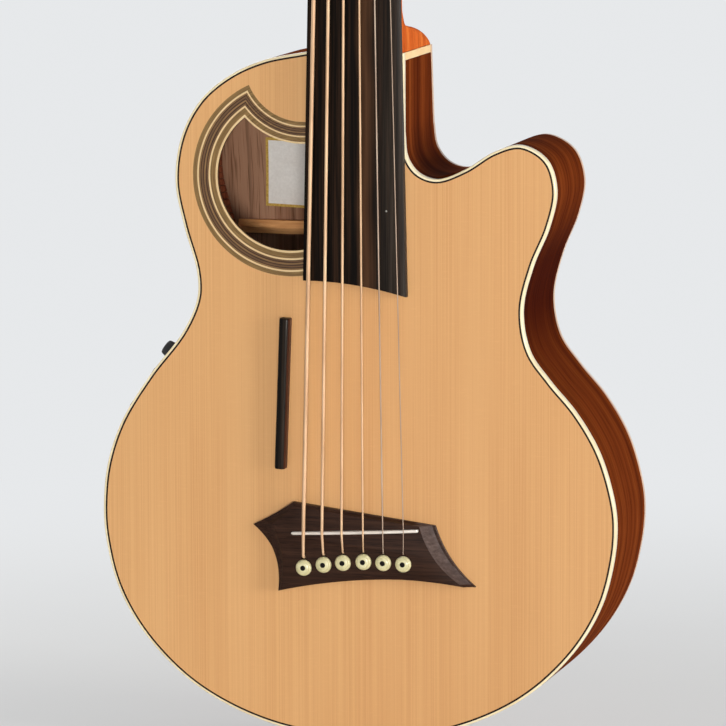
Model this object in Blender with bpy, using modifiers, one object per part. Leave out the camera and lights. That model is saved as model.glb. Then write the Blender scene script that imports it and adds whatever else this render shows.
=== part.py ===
# Six-string fretless acoustic bass guitar with a single cutaway and an offset sound hole.
#
# Sizes are in millimetres and are turned into metres where a mesh is made.
# X runs across the strings towards the thin one, Y runs from the face into the body,
# and Z runs up the strings from the saddle. The whole instrument hangs by its headstock,
# so its own origin lies behind the nut, where a wall hanger carries it.

import math

import bmesh
import bpy
from mathutils import Matrix, Vector

MM = 0.001

# Scale and fit
SCALE_LENGTH = 864.0
BODY_JOINT_POSITION = 14
GAP = 0.3
FACE_Y = 0.0

# Body outline, outer edge, as (x, z) from the saddle
BASS_SHOULDER = ((-39.0, 384.9), (-77.0, 377.0), (-105.2, 364.1), (-129.0, 344.0), (-144.7, 315.2),
                 (-150.1, 279.0), (-143.2, 243.0), (-132.6, 206.0), (-132.4, 185.0), (-144.2, 157.7),
                 (-173.2, 120.2), (-197.0, 82.0), (-209.2, 46.0))
LOWER_BOUT_HALF = ((212.6, 10.0), (210.4, -16.2), (200.8, -52.8), (180.0, -89.2), (145.0, -124.8),
                   (106.6, -147.8), (60.0, -163.4))
TAIL_END = (0.0, -169.6)
TREBLE_SIDE = ((210.4, 31.0), (198.8, 69.0), (180.0, 100.6), (158.0, 126.2), (141.6, 149.5), (136.0, 181.9),
               (144.2, 217.1), (157.5, 249.0), (163.2, 278.0), (155.6, 302.0), (134.6, 313.6),
               (113.0, 308.0), (88.9, 293.2), (66.0, 285.0), (51.0, 289.6), (41.8, 302.0), (39.3, 322.0))
TREBLE_CORNER = (39.3, 384.9)
OUTLINE_TOLERANCE = 0.5

# Body depth from the face to the back edge at stations along the strings, and the back's arch
BACK_DEPTHS = ((-170.0, 111.0), (0.0, 116.0), (180.0, 117.5), (265.0, 111.5), (320.0, 102.5), (386.0, 94.0))
BACK_ARCH_RADIUS = 9000.0
BACK_GRID = (6, 24)

# Plates, sides and edges
SOUNDBOARD_THICKNESS = 3.5
BACK_THICKNESS = 3.5
RIM_THICKNESS = 3.5
BINDING_WIDTH = 2.3
TOP_BINDING_DEPTH = 6.5
BACK_BINDING_DEPTH = 5.5
LINING_WIDTH = 6.0
LINING_HEIGHT = 14.0
LINING_LIP = 5.0
HEEL_STRIP_HEIGHT = 6.0
HEEL_STRIP_THICKNESS = 1.6

# Sound hole: the left of one circle, less a scoop that is another circle, cut off under the fingerboard
HOLE_CENTRE = (-55.2, 284.4)
HOLE_RADIUS = 59.5
SCOOP_CENTRE = (-44.6, 376.0)
SCOOP_RADIUS = 65.0
HOLE_RIGHT_X = -34.0
ROSETTE_WIDTH = 20.5
ROSETTE_SCOOP_WIDTH = 17.5
ROSETTE_THICKNESS = 2.0

# Blocks and braces
NECK_BLOCK_SIDES = (-34.0, 28.0)
NECK_BLOCK_LENGTH = 52.0
TAIL_BLOCK_HALF_WIDTH = 36.0
TAIL_BLOCK_LENGTH = 20.0
BRACE_CROSSING_Z = 95.0
BRACE_ANGLE = math.radians(40.0)
BRACE_UPPER_LENGTH = 158.0
BRACE_LOWER_LENGTH = 205.0
BRACE_WIDTH = 8.0
BRACE_HEIGHT = 14.0
BRACE_UPPER_TAPER = 40.0
BRACE_LOWER_TAPER = 50.0
BRACE_END_HEIGHT = 4.0
BACK_BRACE_PLACES = (-75.0, 70.0, 232.0)
BACK_BRACE_WIDTH = 11.0
BACK_BRACE_HEIGHT = 13.0
BACK_BRACE_END_HEIGHT = 5.0
BACK_STRIP_HALF_WIDTH = 9.0
BACK_STRIP_HEIGHT = 3.0
BACK_STRIP_LOW_Z = -140.0
BACK_STRIP_HIGH_Z = 318.0
BACK_STRIP_TAPER = 1.5
PLATE_HALF_WIDTH = 62.0
PLATE_LOW_Z = -52.0
PLATE_HIGH_Z = -8.0
PLATE_THICKNESS = 2.5

# Neck and fingerboard
BOARD_END_HALF_WIDTH = 42.5
NUT_HALF_WIDTH = 28.2
BOARD_THICKNESS = 8.5
BOARD_RADIUS = 400.0
BOARD_END_Z = 199.8
BOARD_END_SLOPE = -0.132
BOARD_END_CURVE = -0.0019
HEEL_PROFILE = ((0.3, 92.0), (4.0, 90.0), (9.0, 84.0), (13.5, 73.0), (17.0, 57.0), (19.5, 37.5),
                (22.5, 23.0), (34.0, 19.0))
HEEL_ROUNDNESS = 0.1
HEEL_ROUNDNESS_GAIN = 0.8
HEEL_ROUNDNESS_POWER = 1.5
NECK_DEPTH_AT_NUT = 14.0
NUT_LENGTH = 6.0
NUT_TOP = 1.6
HEADSTOCK_ANGLE = math.radians(11.0)
HEADSTOCK_THICKNESS = 15.0
HEADSTOCK_OUTLINE = ((0.0, 28.2), (12.0, 29.5), (24.0, 36.5), (36.0, 43.5), (50.0, 46.5), (100.0, 48.0),
                     (150.0, 50.5), (176.0, 51.0), (188.0, 47.5), (197.0, 38.0), (203.0, 22.0))
TRUSS_ROD_WIDTH = 6.0
TRUSS_ROD_DEPTH = 8.0
TRUSS_ROD_FROM_BODY = 11.0
TRUSS_ROD_FROM_NUT = 8.0

# Bridge, saddle and pins
BRIDGE_HEIGHT = 8.3
BRIDGE_EDGE_HEIGHT = 3.0
BRIDGE_CORNERS = ((-85.5, 2.9), (-51.6, 22.4), (65.3, 7.2), (98.5, -41.2), (-63.9, -50.0))
BRIDGE_SAGS = (0.8, 0.0, 4.4, 7.8, 8.0)
BRIDGE_TOP_CORNERS = ((-68.1, 5.3), (-50.6, 19.6), (53.5, 6.9), (84.0, -40.3), (-61.7, -48.2))
BRIDGE_TOP_SAGS = (0.8, 0.0, 3.6, 7.0, 5.0)
BRIDGE_EDGE_STEPS = (3, 3, 6, 8, 6)
SADDLE_ENDS = ((-52.6, -2.6), (52.9, 3.2))
SADDLE_THICKNESS = 3.2
SADDLE_TOP = 12.8
SADDLE_SLOT_DEPTH = 5.5
PICKUP_THICKNESS = 1.2
PICKUP_WIDTH = 2.6
PIN_PLACES = ((-42.0, -30.0), (-25.5, -27.0), (-9.4, -24.8), (7.6, -23.4), (24.0, -23.6), (40.5, -24.0))
PIN_HEAD_RADIUS = 6.6
PIN_HEAD_HEIGHT = 3.6
PIN_SHANK_RADIUS = 3.6
PIN_TIP_RADIUS = 2.9
PIN_LENGTH = 26.0
PIN_FLUTE = 2.3

# Strings, from the thick one to the thin one
STRING_DIAMETERS = (3.3, 2.67, 2.16, 1.65, 1.14, 0.81)
STRING_SADDLE_X = (-41.3, -25.6, -9.2, 8.4, 24.6, 41.2)
STRING_NUT_PITCH = 8.4
STRING_TURNS = 2.25
TURN_POINTS = 12
TURN_GAP = 0.55
TURNS_FROM_FACE = 13.5
BALL_RADIUS = 2.6

# Thumb rest
THUMB_REST_ENDS = ((-57.7, 171.2), (-62.2, 49.2))
THUMB_REST_WIDTH = 8.6
THUMB_REST_HEIGHT = 9.0

# Tuners, in the headstock's own frame: x outwards, y back, z up
POST_PLACES = ((-30.0, 52.0), (-31.5, 100.0), (-33.0, 148.0), (33.0, 148.0), (31.5, 100.0), (30.0, 52.0))
POST_RADIUS = 5.0
POST_WAIST_RADIUS = 4.2
POST_TOP = 20.5
BUSHING_RADIUS = 6.5
FERRULE_RADIUS = 9.0
FERRULE_HEIGHT = 2.4
HOUSING_SIZE = (22.0, 14.0, 27.0)
WORM_DROP = 8.5
WORM_RADIUS = 2.5
BUTTON_REACH = 24.0
BUTTON_SIZE = (23.0, 9.5, 25.0)

# Preamp on the bass side, in its own frame: x along the side, y back, z outwards
PREAMP_Z = 116.0
PREAMP_DEPTH = 45.0
PREAMP_SIZE = (88.0, 42.0)
PREAMP_BODY = (80.0, 34.0, 30.0)
PREAMP_PLATE = 2.4
PREAMP_SEAT = 1.2
KNOB_PLACE = 22.0
KNOB_RADIUS = 7.0
KNOB_HEIGHT = 9.0
KNOB_SHAFT_RADIUS = 3.0
SLIDER_PLACES = (-33.0, -22.0, -11.0, 0.0)
SLIDER_TRAVEL = 8.5
SLIDER_CAP = (6.5, 8.0, 6.0)
SLIDER_STEM = (1.8, 5.0, 3.4)

# Fittings
JACK_DEPTH = 56.0
JACK_FLANGE_RADIUS = 10.5
JACK_BARREL_RADIUS = 6.0
JACK_LENGTH = 34.0
JACK_BORE_RADIUS = 3.3
STRAP_BUTTON_DEPTH = 40.0
STRAP_BUTTON_RISE = 9.0
STRAP_BUTTON_SEAT = 1.8
STRAP_BUTTON_RADIUS = 7.0
STRAP_BUTTON_HEIGHT = 12.0

# What the sizes above lead to
JOINT_Z = SCALE_LENGTH * 2 ** (-BODY_JOINT_POSITION / 12)
NUT_Z = SCALE_LENGTH
STRETCH = JOINT_Z / TREBLE_CORNER[1]
BOARD_LOW_Z = BOARD_END_Z * STRETCH
TAIL_Z = TAIL_END[1] * STRETCH
TRUSS_ROD_LOW_Z = JOINT_Z + TRUSS_ROD_FROM_BODY
TRUSS_ROD_HIGH_Z = NUT_Z - TRUSS_ROD_FROM_NUT
HEADSTOCK_Z = NUT_Z + NUT_LENGTH + GAP
BOARD_TOP = BOARD_THICKNESS + GAP
BRIDGE_TOP = BRIDGE_HEIGHT + GAP
HANGER_Z = HEADSTOCK_Z + 6.0
HANGER_Y = HEADSTOCK_THICKNESS + 2.0


# Scene, collections, materials and small helpers

for leftover in list(bpy.data.objects):
    bpy.data.objects.remove(leftover, do_unlink=True)

PARTS = bpy.data.collections.new("acoustic_bass_guitar")
CUTTERS = bpy.data.collections.new("cutters")
bpy.context.scene.collection.children.link(PARTS)
bpy.context.scene.collection.children.link(CUTTERS)


def add_empty(name, matrix, parent=None):
    """A frame that pieces are placed in."""
    empty = bpy.data.objects.new(name, None)
    PARTS.objects.link(empty)
    empty.parent = parent
    empty.matrix_local = matrix
    return empty


def add_material(name, colour, roughness, metallic=0.0):
    material = bpy.data.materials.new(name)
    material.use_nodes = True
    shader = material.node_tree.nodes["Principled BSDF"]
    shader.inputs["Base Color"].default_value = (*colour, 1.0)
    shader.inputs["Roughness"].default_value = roughness
    shader.inputs["Metallic"].default_value = metallic
    return material


SPRUCE = add_material("spruce", (0.76, 0.42, 0.17), 0.25)
ROSEWOOD = add_material("rosewood", (0.15, 0.04, 0.012), 0.2)
CREAM = add_material("cream_plastic", (0.95, 0.85, 0.6), 0.3)
BRACE_WOOD = add_material("brace_wood", (0.7, 0.5, 0.3), 0.6)
LINING_WOOD = add_material("lining_wood", (0.35, 0.12, 0.07), 0.6)
INLAY_WOOD = add_material("inlay_wood", (0.25, 0.17, 0.08), 0.3)
MAHOGANY = add_material("mahogany", (0.62, 0.17, 0.05), 0.25)
EBONY = add_material("ebony", (0.02, 0.015, 0.012), 0.35)
DARK_ROSEWOOD = add_material("dark_rosewood", (0.05, 0.03, 0.025), 0.4)
BONE = add_material("bone", (0.8, 0.76, 0.65), 0.35)
PIN_PLASTIC = add_material("pin_plastic", (0.85, 0.78, 0.55), 0.3)
BLACK_PLASTIC = add_material("black_plastic", (0.02, 0.02, 0.02), 0.35)
BRONZE = add_material("string_bronze", (0.75, 0.45, 0.22), 0.3, 1.0)
CHROME = add_material("chrome", (0.8, 0.8, 0.8), 0.1, 1.0)
ROD_STEEL = add_material("rod_steel", (0.45, 0.45, 0.45), 0.4, 1.0)


def link_object(name, mesh, material, parent, matrix=None, sharp_angle=35.0):
    obj = bpy.data.objects.new(name, mesh)
    PARTS.objects.link(obj)
    obj.parent = parent
    if matrix is not None:
        obj.matrix_local = matrix
    if material is not None and not mesh.materials:
        mesh.materials.append(material)
    mesh.shade_smooth()
    mesh.set_sharp_from_angle(angle=math.radians(sharp_angle))
    return obj


def finish_mesh(name, bm):
    """Turn a millimetre bmesh into a metre mesh with its faces pointing out."""
    bmesh.ops.scale(bm, vec=(MM, MM, MM), verts=bm.verts)
    bmesh.ops.recalc_face_normals(bm, faces=bm.faces)
    mesh = bpy.data.meshes.new(name)
    bm.to_mesh(mesh)
    bm.free()
    return mesh


def at(x, y, z):
    return Matrix.Translation((x * MM, y * MM, z * MM))


def as_cutter(obj):
    PARTS.objects.unlink(obj)
    CUTTERS.objects.link(obj)
    obj.hide_render = True
    obj.display_type = "WIRE"
    return obj


def boolean(obj, cutter, operation="DIFFERENCE"):
    modifier = obj.modifiers.new(cutter.name, "BOOLEAN")
    modifier.operation = operation
    modifier.solver = "EXACT"
    modifier.object = cutter
    return obj


def flat_piece(name, loops, y_front, y_back, material, parent):
    """A flat outline in the X-Z plane with its holes, given its thickness along Y, as a welded mesh."""
    curve = bpy.data.curves.new(name, "CURVE")
    curve.dimensions = "2D"
    curve.fill_mode = "BOTH"
    curve.extrude = (y_back - y_front) / 2 * MM
    for loop in loops:
        spline = curve.splines.new("POLY")
        spline.points.add(len(loop) - 1)
        for point, (x, z) in zip(spline.points, loop):
            point.co = (x * MM, z * MM, 0.0, 1.0)
        spline.use_cyclic_u = True
    drawn = bpy.data.objects.new(name + "_outline", curve)
    PARTS.objects.link(drawn)
    mesh = bpy.data.meshes.new_from_object(drawn.evaluated_get(bpy.context.evaluated_depsgraph_get()))
    mesh.name = name
    bpy.data.objects.remove(drawn, do_unlink=True)
    weld(mesh)
    turn = at(0.0, (y_front + y_back) / 2, 0.0) @ Matrix.Rotation(math.pi / 2, 4, "X")
    mesh.transform(turn)
    return link_object(name, mesh, material, parent)


def weld(mesh):
    bm = bmesh.new()
    bm.from_mesh(mesh)
    bmesh.ops.remove_doubles(bm, verts=bm.verts, dist=0.00001)
    bmesh.ops.recalc_face_normals(bm, faces=bm.faces)
    bm.to_mesh(mesh)
    bm.free()


def loft(rings, closed_loop=False, ladder_caps=False):
    """Skin a row of rings of millimetre points. The ends are capped, or joined when the row is a loop.

    Ladder caps suit an end that isn't flat: each joins a ring's first half to its second, rung by rung.
    """
    bm = bmesh.new()
    rows = [[bm.verts.new(point) for point in ring] for ring in rings]
    count = len(rows[0])
    pairs = list(zip(rows, rows[1:]))
    if closed_loop:
        pairs.append((rows[-1], rows[0]))
    for first, second in pairs:
        for i in range(count):
            j = (i + 1) % count
            bm.faces.new((first[i], first[j], second[j], second[i]))
    if ladder_caps:
        for row in (rows[0], rows[-1]):
            for i in range(count // 2 - 1):
                bm.faces.new((row[i], row[i + 1], row[count - 2 - i], row[count - 1 - i]))
    elif not closed_loop:
        bm.faces.new(rows[0])
        bm.faces.new(rows[-1])
    return bm


def turned_mesh(name, profile, steps, material):
    """A turned piece about +Y. The profile is (radius, y) pairs, from its front end to its back end."""
    mesh = bpy.data.meshes.new(name)
    points = [(radius * MM, 0.0, -y * MM) for radius, y in profile]
    mesh.from_pydata(points, [(i, i + 1) for i in range(len(points) - 1)], [])
    drawn = bpy.data.objects.new(name + "_profile", mesh)
    PARTS.objects.link(drawn)
    screw = drawn.modifiers.new("turn", "SCREW")
    screw.axis = "Z"
    screw.steps = steps
    screw.render_steps = steps
    screw.use_merge_vertices = True
    screw.merge_threshold = 0.00001
    turned = bpy.data.meshes.new_from_object(drawn.evaluated_get(bpy.context.evaluated_depsgraph_get()))
    turned.name = name
    bpy.data.objects.remove(drawn, do_unlink=True)
    turned.transform(Matrix.Rotation(math.pi / 2, 4, "X"))
    weld(turned)
    turned.materials.clear()
    turned.materials.append(material)
    return turned


def box_mesh(name, low, high, bevel=0.0, segments=1):
    """A box between two millimetre corners, with its edges rounded."""
    bm = bmesh.new()
    size = [b - a for a, b in zip(low, high)]
    middle = [(a + b) / 2 for a, b in zip(low, high)]
    bmesh.ops.create_cube(bm, size=1.0)
    bmesh.ops.scale(bm, vec=size, verts=bm.verts)
    bmesh.ops.translate(bm, vec=middle, verts=bm.verts)
    if bevel > 0.0:
        bmesh.ops.bevel(bm, geom=bm.edges[:], offset=bevel, segments=segments, affect="EDGES")
    return finish_mesh(name, bm)


def cylinder_mesh(name, radius, start, end, sides):
    """A cylinder from one millimetre point to another."""
    bm = bmesh.new()
    start, end = Vector(start), Vector(end)
    axis = end - start
    turn = axis.to_track_quat("Z", "Y").to_matrix().to_4x4()
    place = Matrix.Translation((start + end) / 2) @ turn
    bmesh.ops.create_cone(bm, cap_ends=True, segments=sides, radius1=radius, radius2=radius,
                          depth=axis.length, matrix=place)
    return finish_mesh(name, bm)


def cutter_from(name, mesh, parent, matrix=None):
    return as_cutter(link_object(name, mesh, None, parent, matrix))


# Outlines

def stretched(places):
    """Places in the body's plan, moved along the strings as the neck joint moves with the scale."""
    return [(x, z * STRETCH) for x, z in places]


def smooth_curve(points, steps=14):
    """Points along a centripetal Catmull-Rom curve through the given ones."""
    points = [Vector(point) for point in points]
    ends = [points[0] * 2 - points[1]] + points + [points[-1] * 2 - points[-2]]
    path = []
    for p0, p1, p2, p3 in zip(ends, ends[1:], ends[2:], ends[3:]):
        t1 = (p1 - p0).length ** 0.5
        t2 = t1 + (p2 - p1).length ** 0.5
        t3 = t2 + (p3 - p2).length ** 0.5
        for step in range(steps):
            t = t1 + (t2 - t1) * step / steps
            a1 = p0 * ((t1 - t) / t1) + p1 * (t / t1)
            a2 = p1 * ((t2 - t) / (t2 - t1)) + p2 * ((t - t1) / (t2 - t1))
            a3 = p2 * ((t3 - t) / (t3 - t2)) + p3 * ((t - t2) / (t3 - t2))
            b1 = a1 * ((t2 - t) / t2) + a2 * (t / t2)
            b2 = a2 * ((t3 - t) / (t3 - t1)) + a3 * ((t - t1) / (t3 - t1))
            path.append(b1 * ((t2 - t) / (t2 - t1)) + b2 * ((t - t1) / (t2 - t1)))
    path.append(points[-1])
    return path


def thin_out(points, tolerance):
    """Keep only the points that a line needs to stay within the tolerance of its path."""
    first, last = points[0], points[-1]
    chord = last - first
    worst, index = 0.0, 0
    for i in range(1, len(points) - 1):
        away = points[i] - first
        reach = abs(chord.x * away.y - chord.y * away.x) / max(chord.length, 1e-9)
        if reach > worst:
            worst, index = reach, i
    if worst <= tolerance:
        return [first, last]
    return thin_out(points[:index + 1], tolerance)[:-1] + thin_out(points[index:], tolerance)


def body_outline():
    """The body's outer edge, from the neck's bass corner round the tail to its treble corner."""
    bass_bout = [(-x, z) for x, z in LOWER_BOUT_HALF]
    treble_bout = list(reversed(LOWER_BOUT_HALF))
    curved = list(BASS_SHOULDER) + bass_bout + [TAIL_END] + treble_bout + list(TREBLE_SIDE)
    path = smooth_curve(stretched(curved))
    middle = len(path) // 2
    return (thin_out(path[:middle + 1], OUTLINE_TOLERANCE)[:-1]
            + thin_out(path[middle:], OUTLINE_TOLERANCE) + [Vector((TREBLE_CORNER[0], JOINT_Z))])


def inward_normals(loop):
    """Mitred inward directions at each corner of an outline that runs anticlockwise."""
    normals = []
    count = len(loop)
    for i in range(count):
        before = (loop[i] - loop[i - 1]).normalized()
        after = (loop[(i + 1) % count] - loop[i]).normalized()
        n1 = Vector((-before.y, before.x))
        n2 = Vector((-after.y, after.x))
        normals.append((n1 + n2) / (1.0 + n1.dot(n2)))
    return normals


def offset_loop(loop, distance):
    return [point + normal * distance for point, normal in zip(loop, inward_normals(loop))]


def body_depth(x, z):
    """Depth from the face to the back's outer surface."""
    depth = DEPTH_CURVE[0].y if z < DEPTH_CURVE[0].x else DEPTH_CURVE[-1].y
    for a, b in zip(DEPTH_CURVE, DEPTH_CURVE[1:]):
        if a.x <= z <= b.x:
            depth = a.y + (b.y - a.y) * (z - a.x) / (b.x - a.x)
    return depth - x * x / (2 * BACK_ARCH_RADIUS)


def swept_ring(loop, section):
    """Skin a ring round an outline. The section's points are (inward offset, plate, distance from it)."""
    rings = []
    for point, normal in zip(loop, inward_normals(loop)):
        ring = []
        for inward, plate, distance in section:
            place = point + normal * inward
            y = distance if plate == "face" else body_depth(place.x, place.y) - distance
            ring.append((place.x, y, place.y))
        rings.append(ring)
    return loft(rings, closed_loop=True)


def arc(centre, radius, start, end, steps):
    """Points on a circle between two angles in radians."""
    return [Vector((centre[0] + radius * math.cos(start + (end - start) * i / steps),
                    centre[1] + radius * math.sin(start + (end - start) * i / steps)))
            for i in range(steps + 1)]


def crescent(hole_radius, scoop_radius, right_x, steps):
    """The sound hole's shape: up round the left of the hole circle to the tip, then down the scoop."""
    (hx, hz), (sx, sz) = stretched((HOLE_CENTRE, SCOOP_CENTRE))
    apart = math.hypot(sx - hx, sz - hz)
    towards_scoop = math.atan2(sz - hz, sx - hx)
    along = (apart ** 2 + hole_radius ** 2 - scoop_radius ** 2) / (2 * apart)
    tip_angle = towards_scoop + math.acos(along / hole_radius)
    tip = Vector((hx + hole_radius * math.cos(tip_angle), hz + hole_radius * math.sin(tip_angle)))
    low_angle = 2 * math.pi - math.acos((right_x - hx) / hole_radius)
    hole_side = arc((hx, hz), hole_radius, low_angle, tip_angle, steps)
    scoop_start = math.atan2(tip.y - sz, tip.x - sx) + 2 * math.pi
    scoop_end = 2 * math.pi - math.acos((right_x - sx) / scoop_radius)
    scoop_side = arc((sx, sz), scoop_radius, scoop_start, scoop_end, max(4, steps // 3))
    return hole_side + scoop_side[1:]


def edge_with_sag(a, b, sag, steps):
    """Points from one corner towards the next on a shallow curve that sags to the right."""
    a, b = Vector(a), Vector(b)
    right = Vector((b.y - a.y, a.x - b.x)).normalized()
    return [a.lerp(b, i / steps) + right * (4 * sag * (i / steps) * (1 - i / steps)) for i in range(steps)]


def crown(x):
    """How far the fingerboard's and saddle's round tops fall away from the middle."""
    return x * x / (2 * BOARD_RADIUS)


def neck_half_width(z):
    along = (z - BOARD_LOW_Z) / (NUT_Z - BOARD_LOW_Z)
    return BOARD_END_HALF_WIDTH + (NUT_HALF_WIDTH - BOARD_END_HALF_WIDTH) * along


# Frames
SADDLE_LINE = add_empty("saddle_line", at(0.0, -HANGER_Y, -HANGER_Z))
HEADSTOCK_FACE = add_empty("headstock_face",
                           at(0.0, 0.0, HEADSTOCK_Z) @ Matrix.Rotation(-HEADSTOCK_ANGLE, 4, "X"),
                           SADDLE_LINE)
OUTLINE = body_outline()
DEPTH_CURVE = smooth_curve([(z * STRETCH, depth) for z, depth in BACK_DEPTHS])


# Body

def pin_slot_end(i):
    """How far above its pin's axis a string's slot in the bridge ends."""
    return PIN_HEAD_RADIUS + STRING_DIAMETERS[i] + 0.8


def pin_holes():
    """Keyholes for the pins, each with the narrow slot that its string dives through."""
    loops = []
    for i, (x, z) in enumerate(PIN_PLACES):
        radius = PIN_SHANK_RADIUS + 0.4
        half = STRING_DIAMETERS[i] / 2 + 0.35
        lean = math.asin(half / radius)
        round_part = arc((x, z), radius, math.pi / 2 + lean, math.pi * 5 / 2 - lean, 9)
        loops.append(round_part + [Vector((x + half, z + pin_slot_end(i))),
                                   Vector((x - half, z + pin_slot_end(i)))])
    return loops


def soundboard():
    edge = offset_loop(OUTLINE, BINDING_WIDTH + GAP)
    hole = crescent(HOLE_RADIUS, SCOOP_RADIUS, HOLE_RIGHT_X, 26)
    board = flat_piece("soundboard", [edge, hole] + pin_holes(), FACE_Y, SOUNDBOARD_THICKNESS, SPRUCE,
                       SADDLE_LINE)
    outer = crescent(HOLE_RADIUS + ROSETTE_WIDTH + GAP, SCOOP_RADIUS - ROSETTE_SCOOP_WIDTH - GAP,
                     HOLE_RIGHT_X + GAP, 26)
    inner = crescent(HOLE_RADIUS - 1.0, SCOOP_RADIUS + 1.0, HOLE_RIGHT_X + GAP, 26)
    seat = flat_piece("rosette_seat", [outer + list(reversed(inner))], -1.0, ROSETTE_THICKNESS + GAP, None,
                      SADDLE_LINE)
    boolean(board, as_cutter(seat))


def rosette():
    outer = crescent(HOLE_RADIUS + ROSETTE_WIDTH, SCOOP_RADIUS - ROSETTE_SCOOP_WIDTH, HOLE_RIGHT_X, 26)
    inner = crescent(HOLE_RADIUS, SCOOP_RADIUS, HOLE_RIGHT_X, 26)
    flat_piece("rosette", [outer + list(reversed(inner))], FACE_Y, ROSETTE_THICKNESS, INLAY_WOOD,
               SADDLE_LINE)


def rim():
    """The bent sides, rebated front and back for the bindings and the two plates."""
    ledge = BINDING_WIDTH + GAP
    back_seat = BACK_THICKNESS + 2 * GAP
    section = ((0.0, "face", TOP_BINDING_DEPTH + GAP), (0.0, "back", BACK_BINDING_DEPTH + GAP),
               (ledge, "back", BACK_BINDING_DEPTH + GAP), (ledge, "back", back_seat),
               (RIM_THICKNESS, "back", back_seat), (RIM_THICKNESS, "face", SOUNDBOARD_THICKNESS + GAP),
               (ledge, "face", SOUNDBOARD_THICKNESS + GAP), (ledge, "face", TOP_BINDING_DEPTH + GAP))
    sides = link_object("rim", finish_mesh("rim", swept_ring(OUTLINE, section)), ROSEWOOD, SADDLE_LINE)
    half_length = PREAMP_SIZE[0] / 2 + GAP
    half_height = PREAMP_SIZE[1] / 2 + GAP
    seat = box_mesh("preamp_seat_cutter", (-half_length, -half_height, -GAP),
                    (half_length, half_height, 9.0))
    boolean(sides, cutter_from("preamp_seat_cutter", seat, PREAMP_FRAME))
    half_length = PREAMP_BODY[0] / 2 + GAP
    half_height = PREAMP_BODY[1] / 2 + GAP
    hole = box_mesh("preamp_hole_cutter", (-half_length, -half_height, -12.0),
                    (half_length, half_height, 3.0))
    boolean(sides, cutter_from("preamp_hole_cutter", hole, PREAMP_FRAME))
    boolean(sides, jack_cutter())
    strip_x = TREBLE_CORNER[0] - HEEL_STRIP_THICKNESS - GAP
    notch = box_mesh("heel_strip_cutter",
                     (strip_x, TOP_BINDING_DEPTH - 1.0, JOINT_Z - HEEL_STRIP_HEIGHT - GAP),
                     (strip_x + 8.0, BACK_DEPTHS[0][1], JOINT_Z + 1.0))
    boolean(sides, cutter_from("heel_strip_cutter", notch, SADDLE_LINE))


def jack_cutter():
    if "jack_cutter" in bpy.data.objects:
        return bpy.data.objects["jack_cutter"]
    mesh = cylinder_mesh("jack_cutter", JACK_BARREL_RADIUS + GAP, (0.0, JACK_DEPTH, TAIL_Z - 5.0),
                         (0.0, JACK_DEPTH, TAIL_Z + 40.0), 16)
    return cutter_from("jack_cutter", mesh, SADDLE_LINE)


def heel_strip():
    """The cream strip that ends the cutaway's side at the neck."""
    x = TREBLE_CORNER[0]
    back = body_depth(x, JOINT_Z) - BACK_BINDING_DEPTH - GAP
    mesh = box_mesh("heel_strip",
                    (x - HEEL_STRIP_THICKNESS, TOP_BINDING_DEPTH + GAP, JOINT_Z - HEEL_STRIP_HEIGHT),
                    (x, back, JOINT_Z))
    link_object("heel_strip", mesh, CREAM, SADDLE_LINE)


def back_panel():
    """A domed plate, cut to the outline from a sheet that follows the back's arch."""
    bm = bmesh.new()
    low_z, high_z, reach = TAIL_Z - 4.0, JOINT_Z + 4.0, LOWER_BOUT_HALF[0][0] + 8.0
    bmesh.ops.create_grid(bm, x_segments=BACK_GRID[0], y_segments=BACK_GRID[1], size=1.0)
    for vert in bm.verts:
        x = vert.co.x * reach
        z = low_z + (vert.co.y + 1.0) / 2 * (high_z - low_z)
        vert.co = (x, body_depth(x, z), z)
    sheet = bmesh.ops.extrude_face_region(bm, geom=bm.faces[:])
    moved = [item for item in sheet["geom"] if isinstance(item, bmesh.types.BMVert)]
    bmesh.ops.translate(bm, vec=(0.0, -BACK_THICKNESS, 0.0), verts=moved)
    panel = link_object("back_panel", finish_mesh("back_panel", bm), ROSEWOOD, SADDLE_LINE,
                        sharp_angle=20.0)
    edge = offset_loop(OUTLINE, BINDING_WIDTH + GAP)
    cookie = flat_piece("back_outline", [edge], 60.0, 140.0, None, SADDLE_LINE)
    boolean(panel, as_cutter(cookie), "INTERSECT")


def bindings():
    inner = offset_loop(OUTLINE, BINDING_WIDTH)
    flat_piece("top_binding", [OUTLINE, inner], FACE_Y, TOP_BINDING_DEPTH, CREAM, SADDLE_LINE)

    section = ((0.0, "back", BACK_BINDING_DEPTH), (0.0, "back", 0.0), (BINDING_WIDTH, "back", 0.0),
               (BINDING_WIDTH, "back", BACK_BINDING_DEPTH))
    link_object("back_binding", finish_mesh("back_binding", swept_ring(OUTLINE, section)), CREAM,
                SADDLE_LINE)


def linings():
    """The glued strips that widen the rim's edges, to carry the plates."""
    near = RIM_THICKNESS + GAP
    far = near + LINING_WIDTH

    for name, plate, seat in (("top_lining", "face", SOUNDBOARD_THICKNESS + GAP),
                              ("back_lining", "back", BACK_THICKNESS + 2 * GAP)):
        section = ((near, plate, seat), (near, plate, seat + LINING_HEIGHT),
                   (far, plate, seat + LINING_LIP), (far, plate, seat))
        link_object(name, finish_mesh(name, swept_ring(OUTLINE, section)), LINING_WOOD, SADDLE_LINE)


def block_ring(x, edge_z, inwards, length):
    """A block's side view at one place across it: between the linings it reaches the rim."""
    outer = edge_z + inwards * (RIM_THICKNESS + GAP)
    shoulder = edge_z + inwards * (RIM_THICKNESS + 2 * GAP + LINING_WIDTH)
    inner = outer + inwards * length

    def back(z):
        return body_depth(x, z) - BACK_THICKNESS - 2 * GAP

    front = SOUNDBOARD_THICKNESS + GAP
    stop_front = front + LINING_HEIGHT + GAP
    stop_back = back(edge_z) - LINING_HEIGHT - GAP
    return [(x, front, inner), (x, front, shoulder), (x, stop_front, shoulder), (x, stop_front, outer),
            (x, stop_back, outer), (x, stop_back, shoulder), (x, back(shoulder), shoulder),
            (x, back(inner), inner)]


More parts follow.
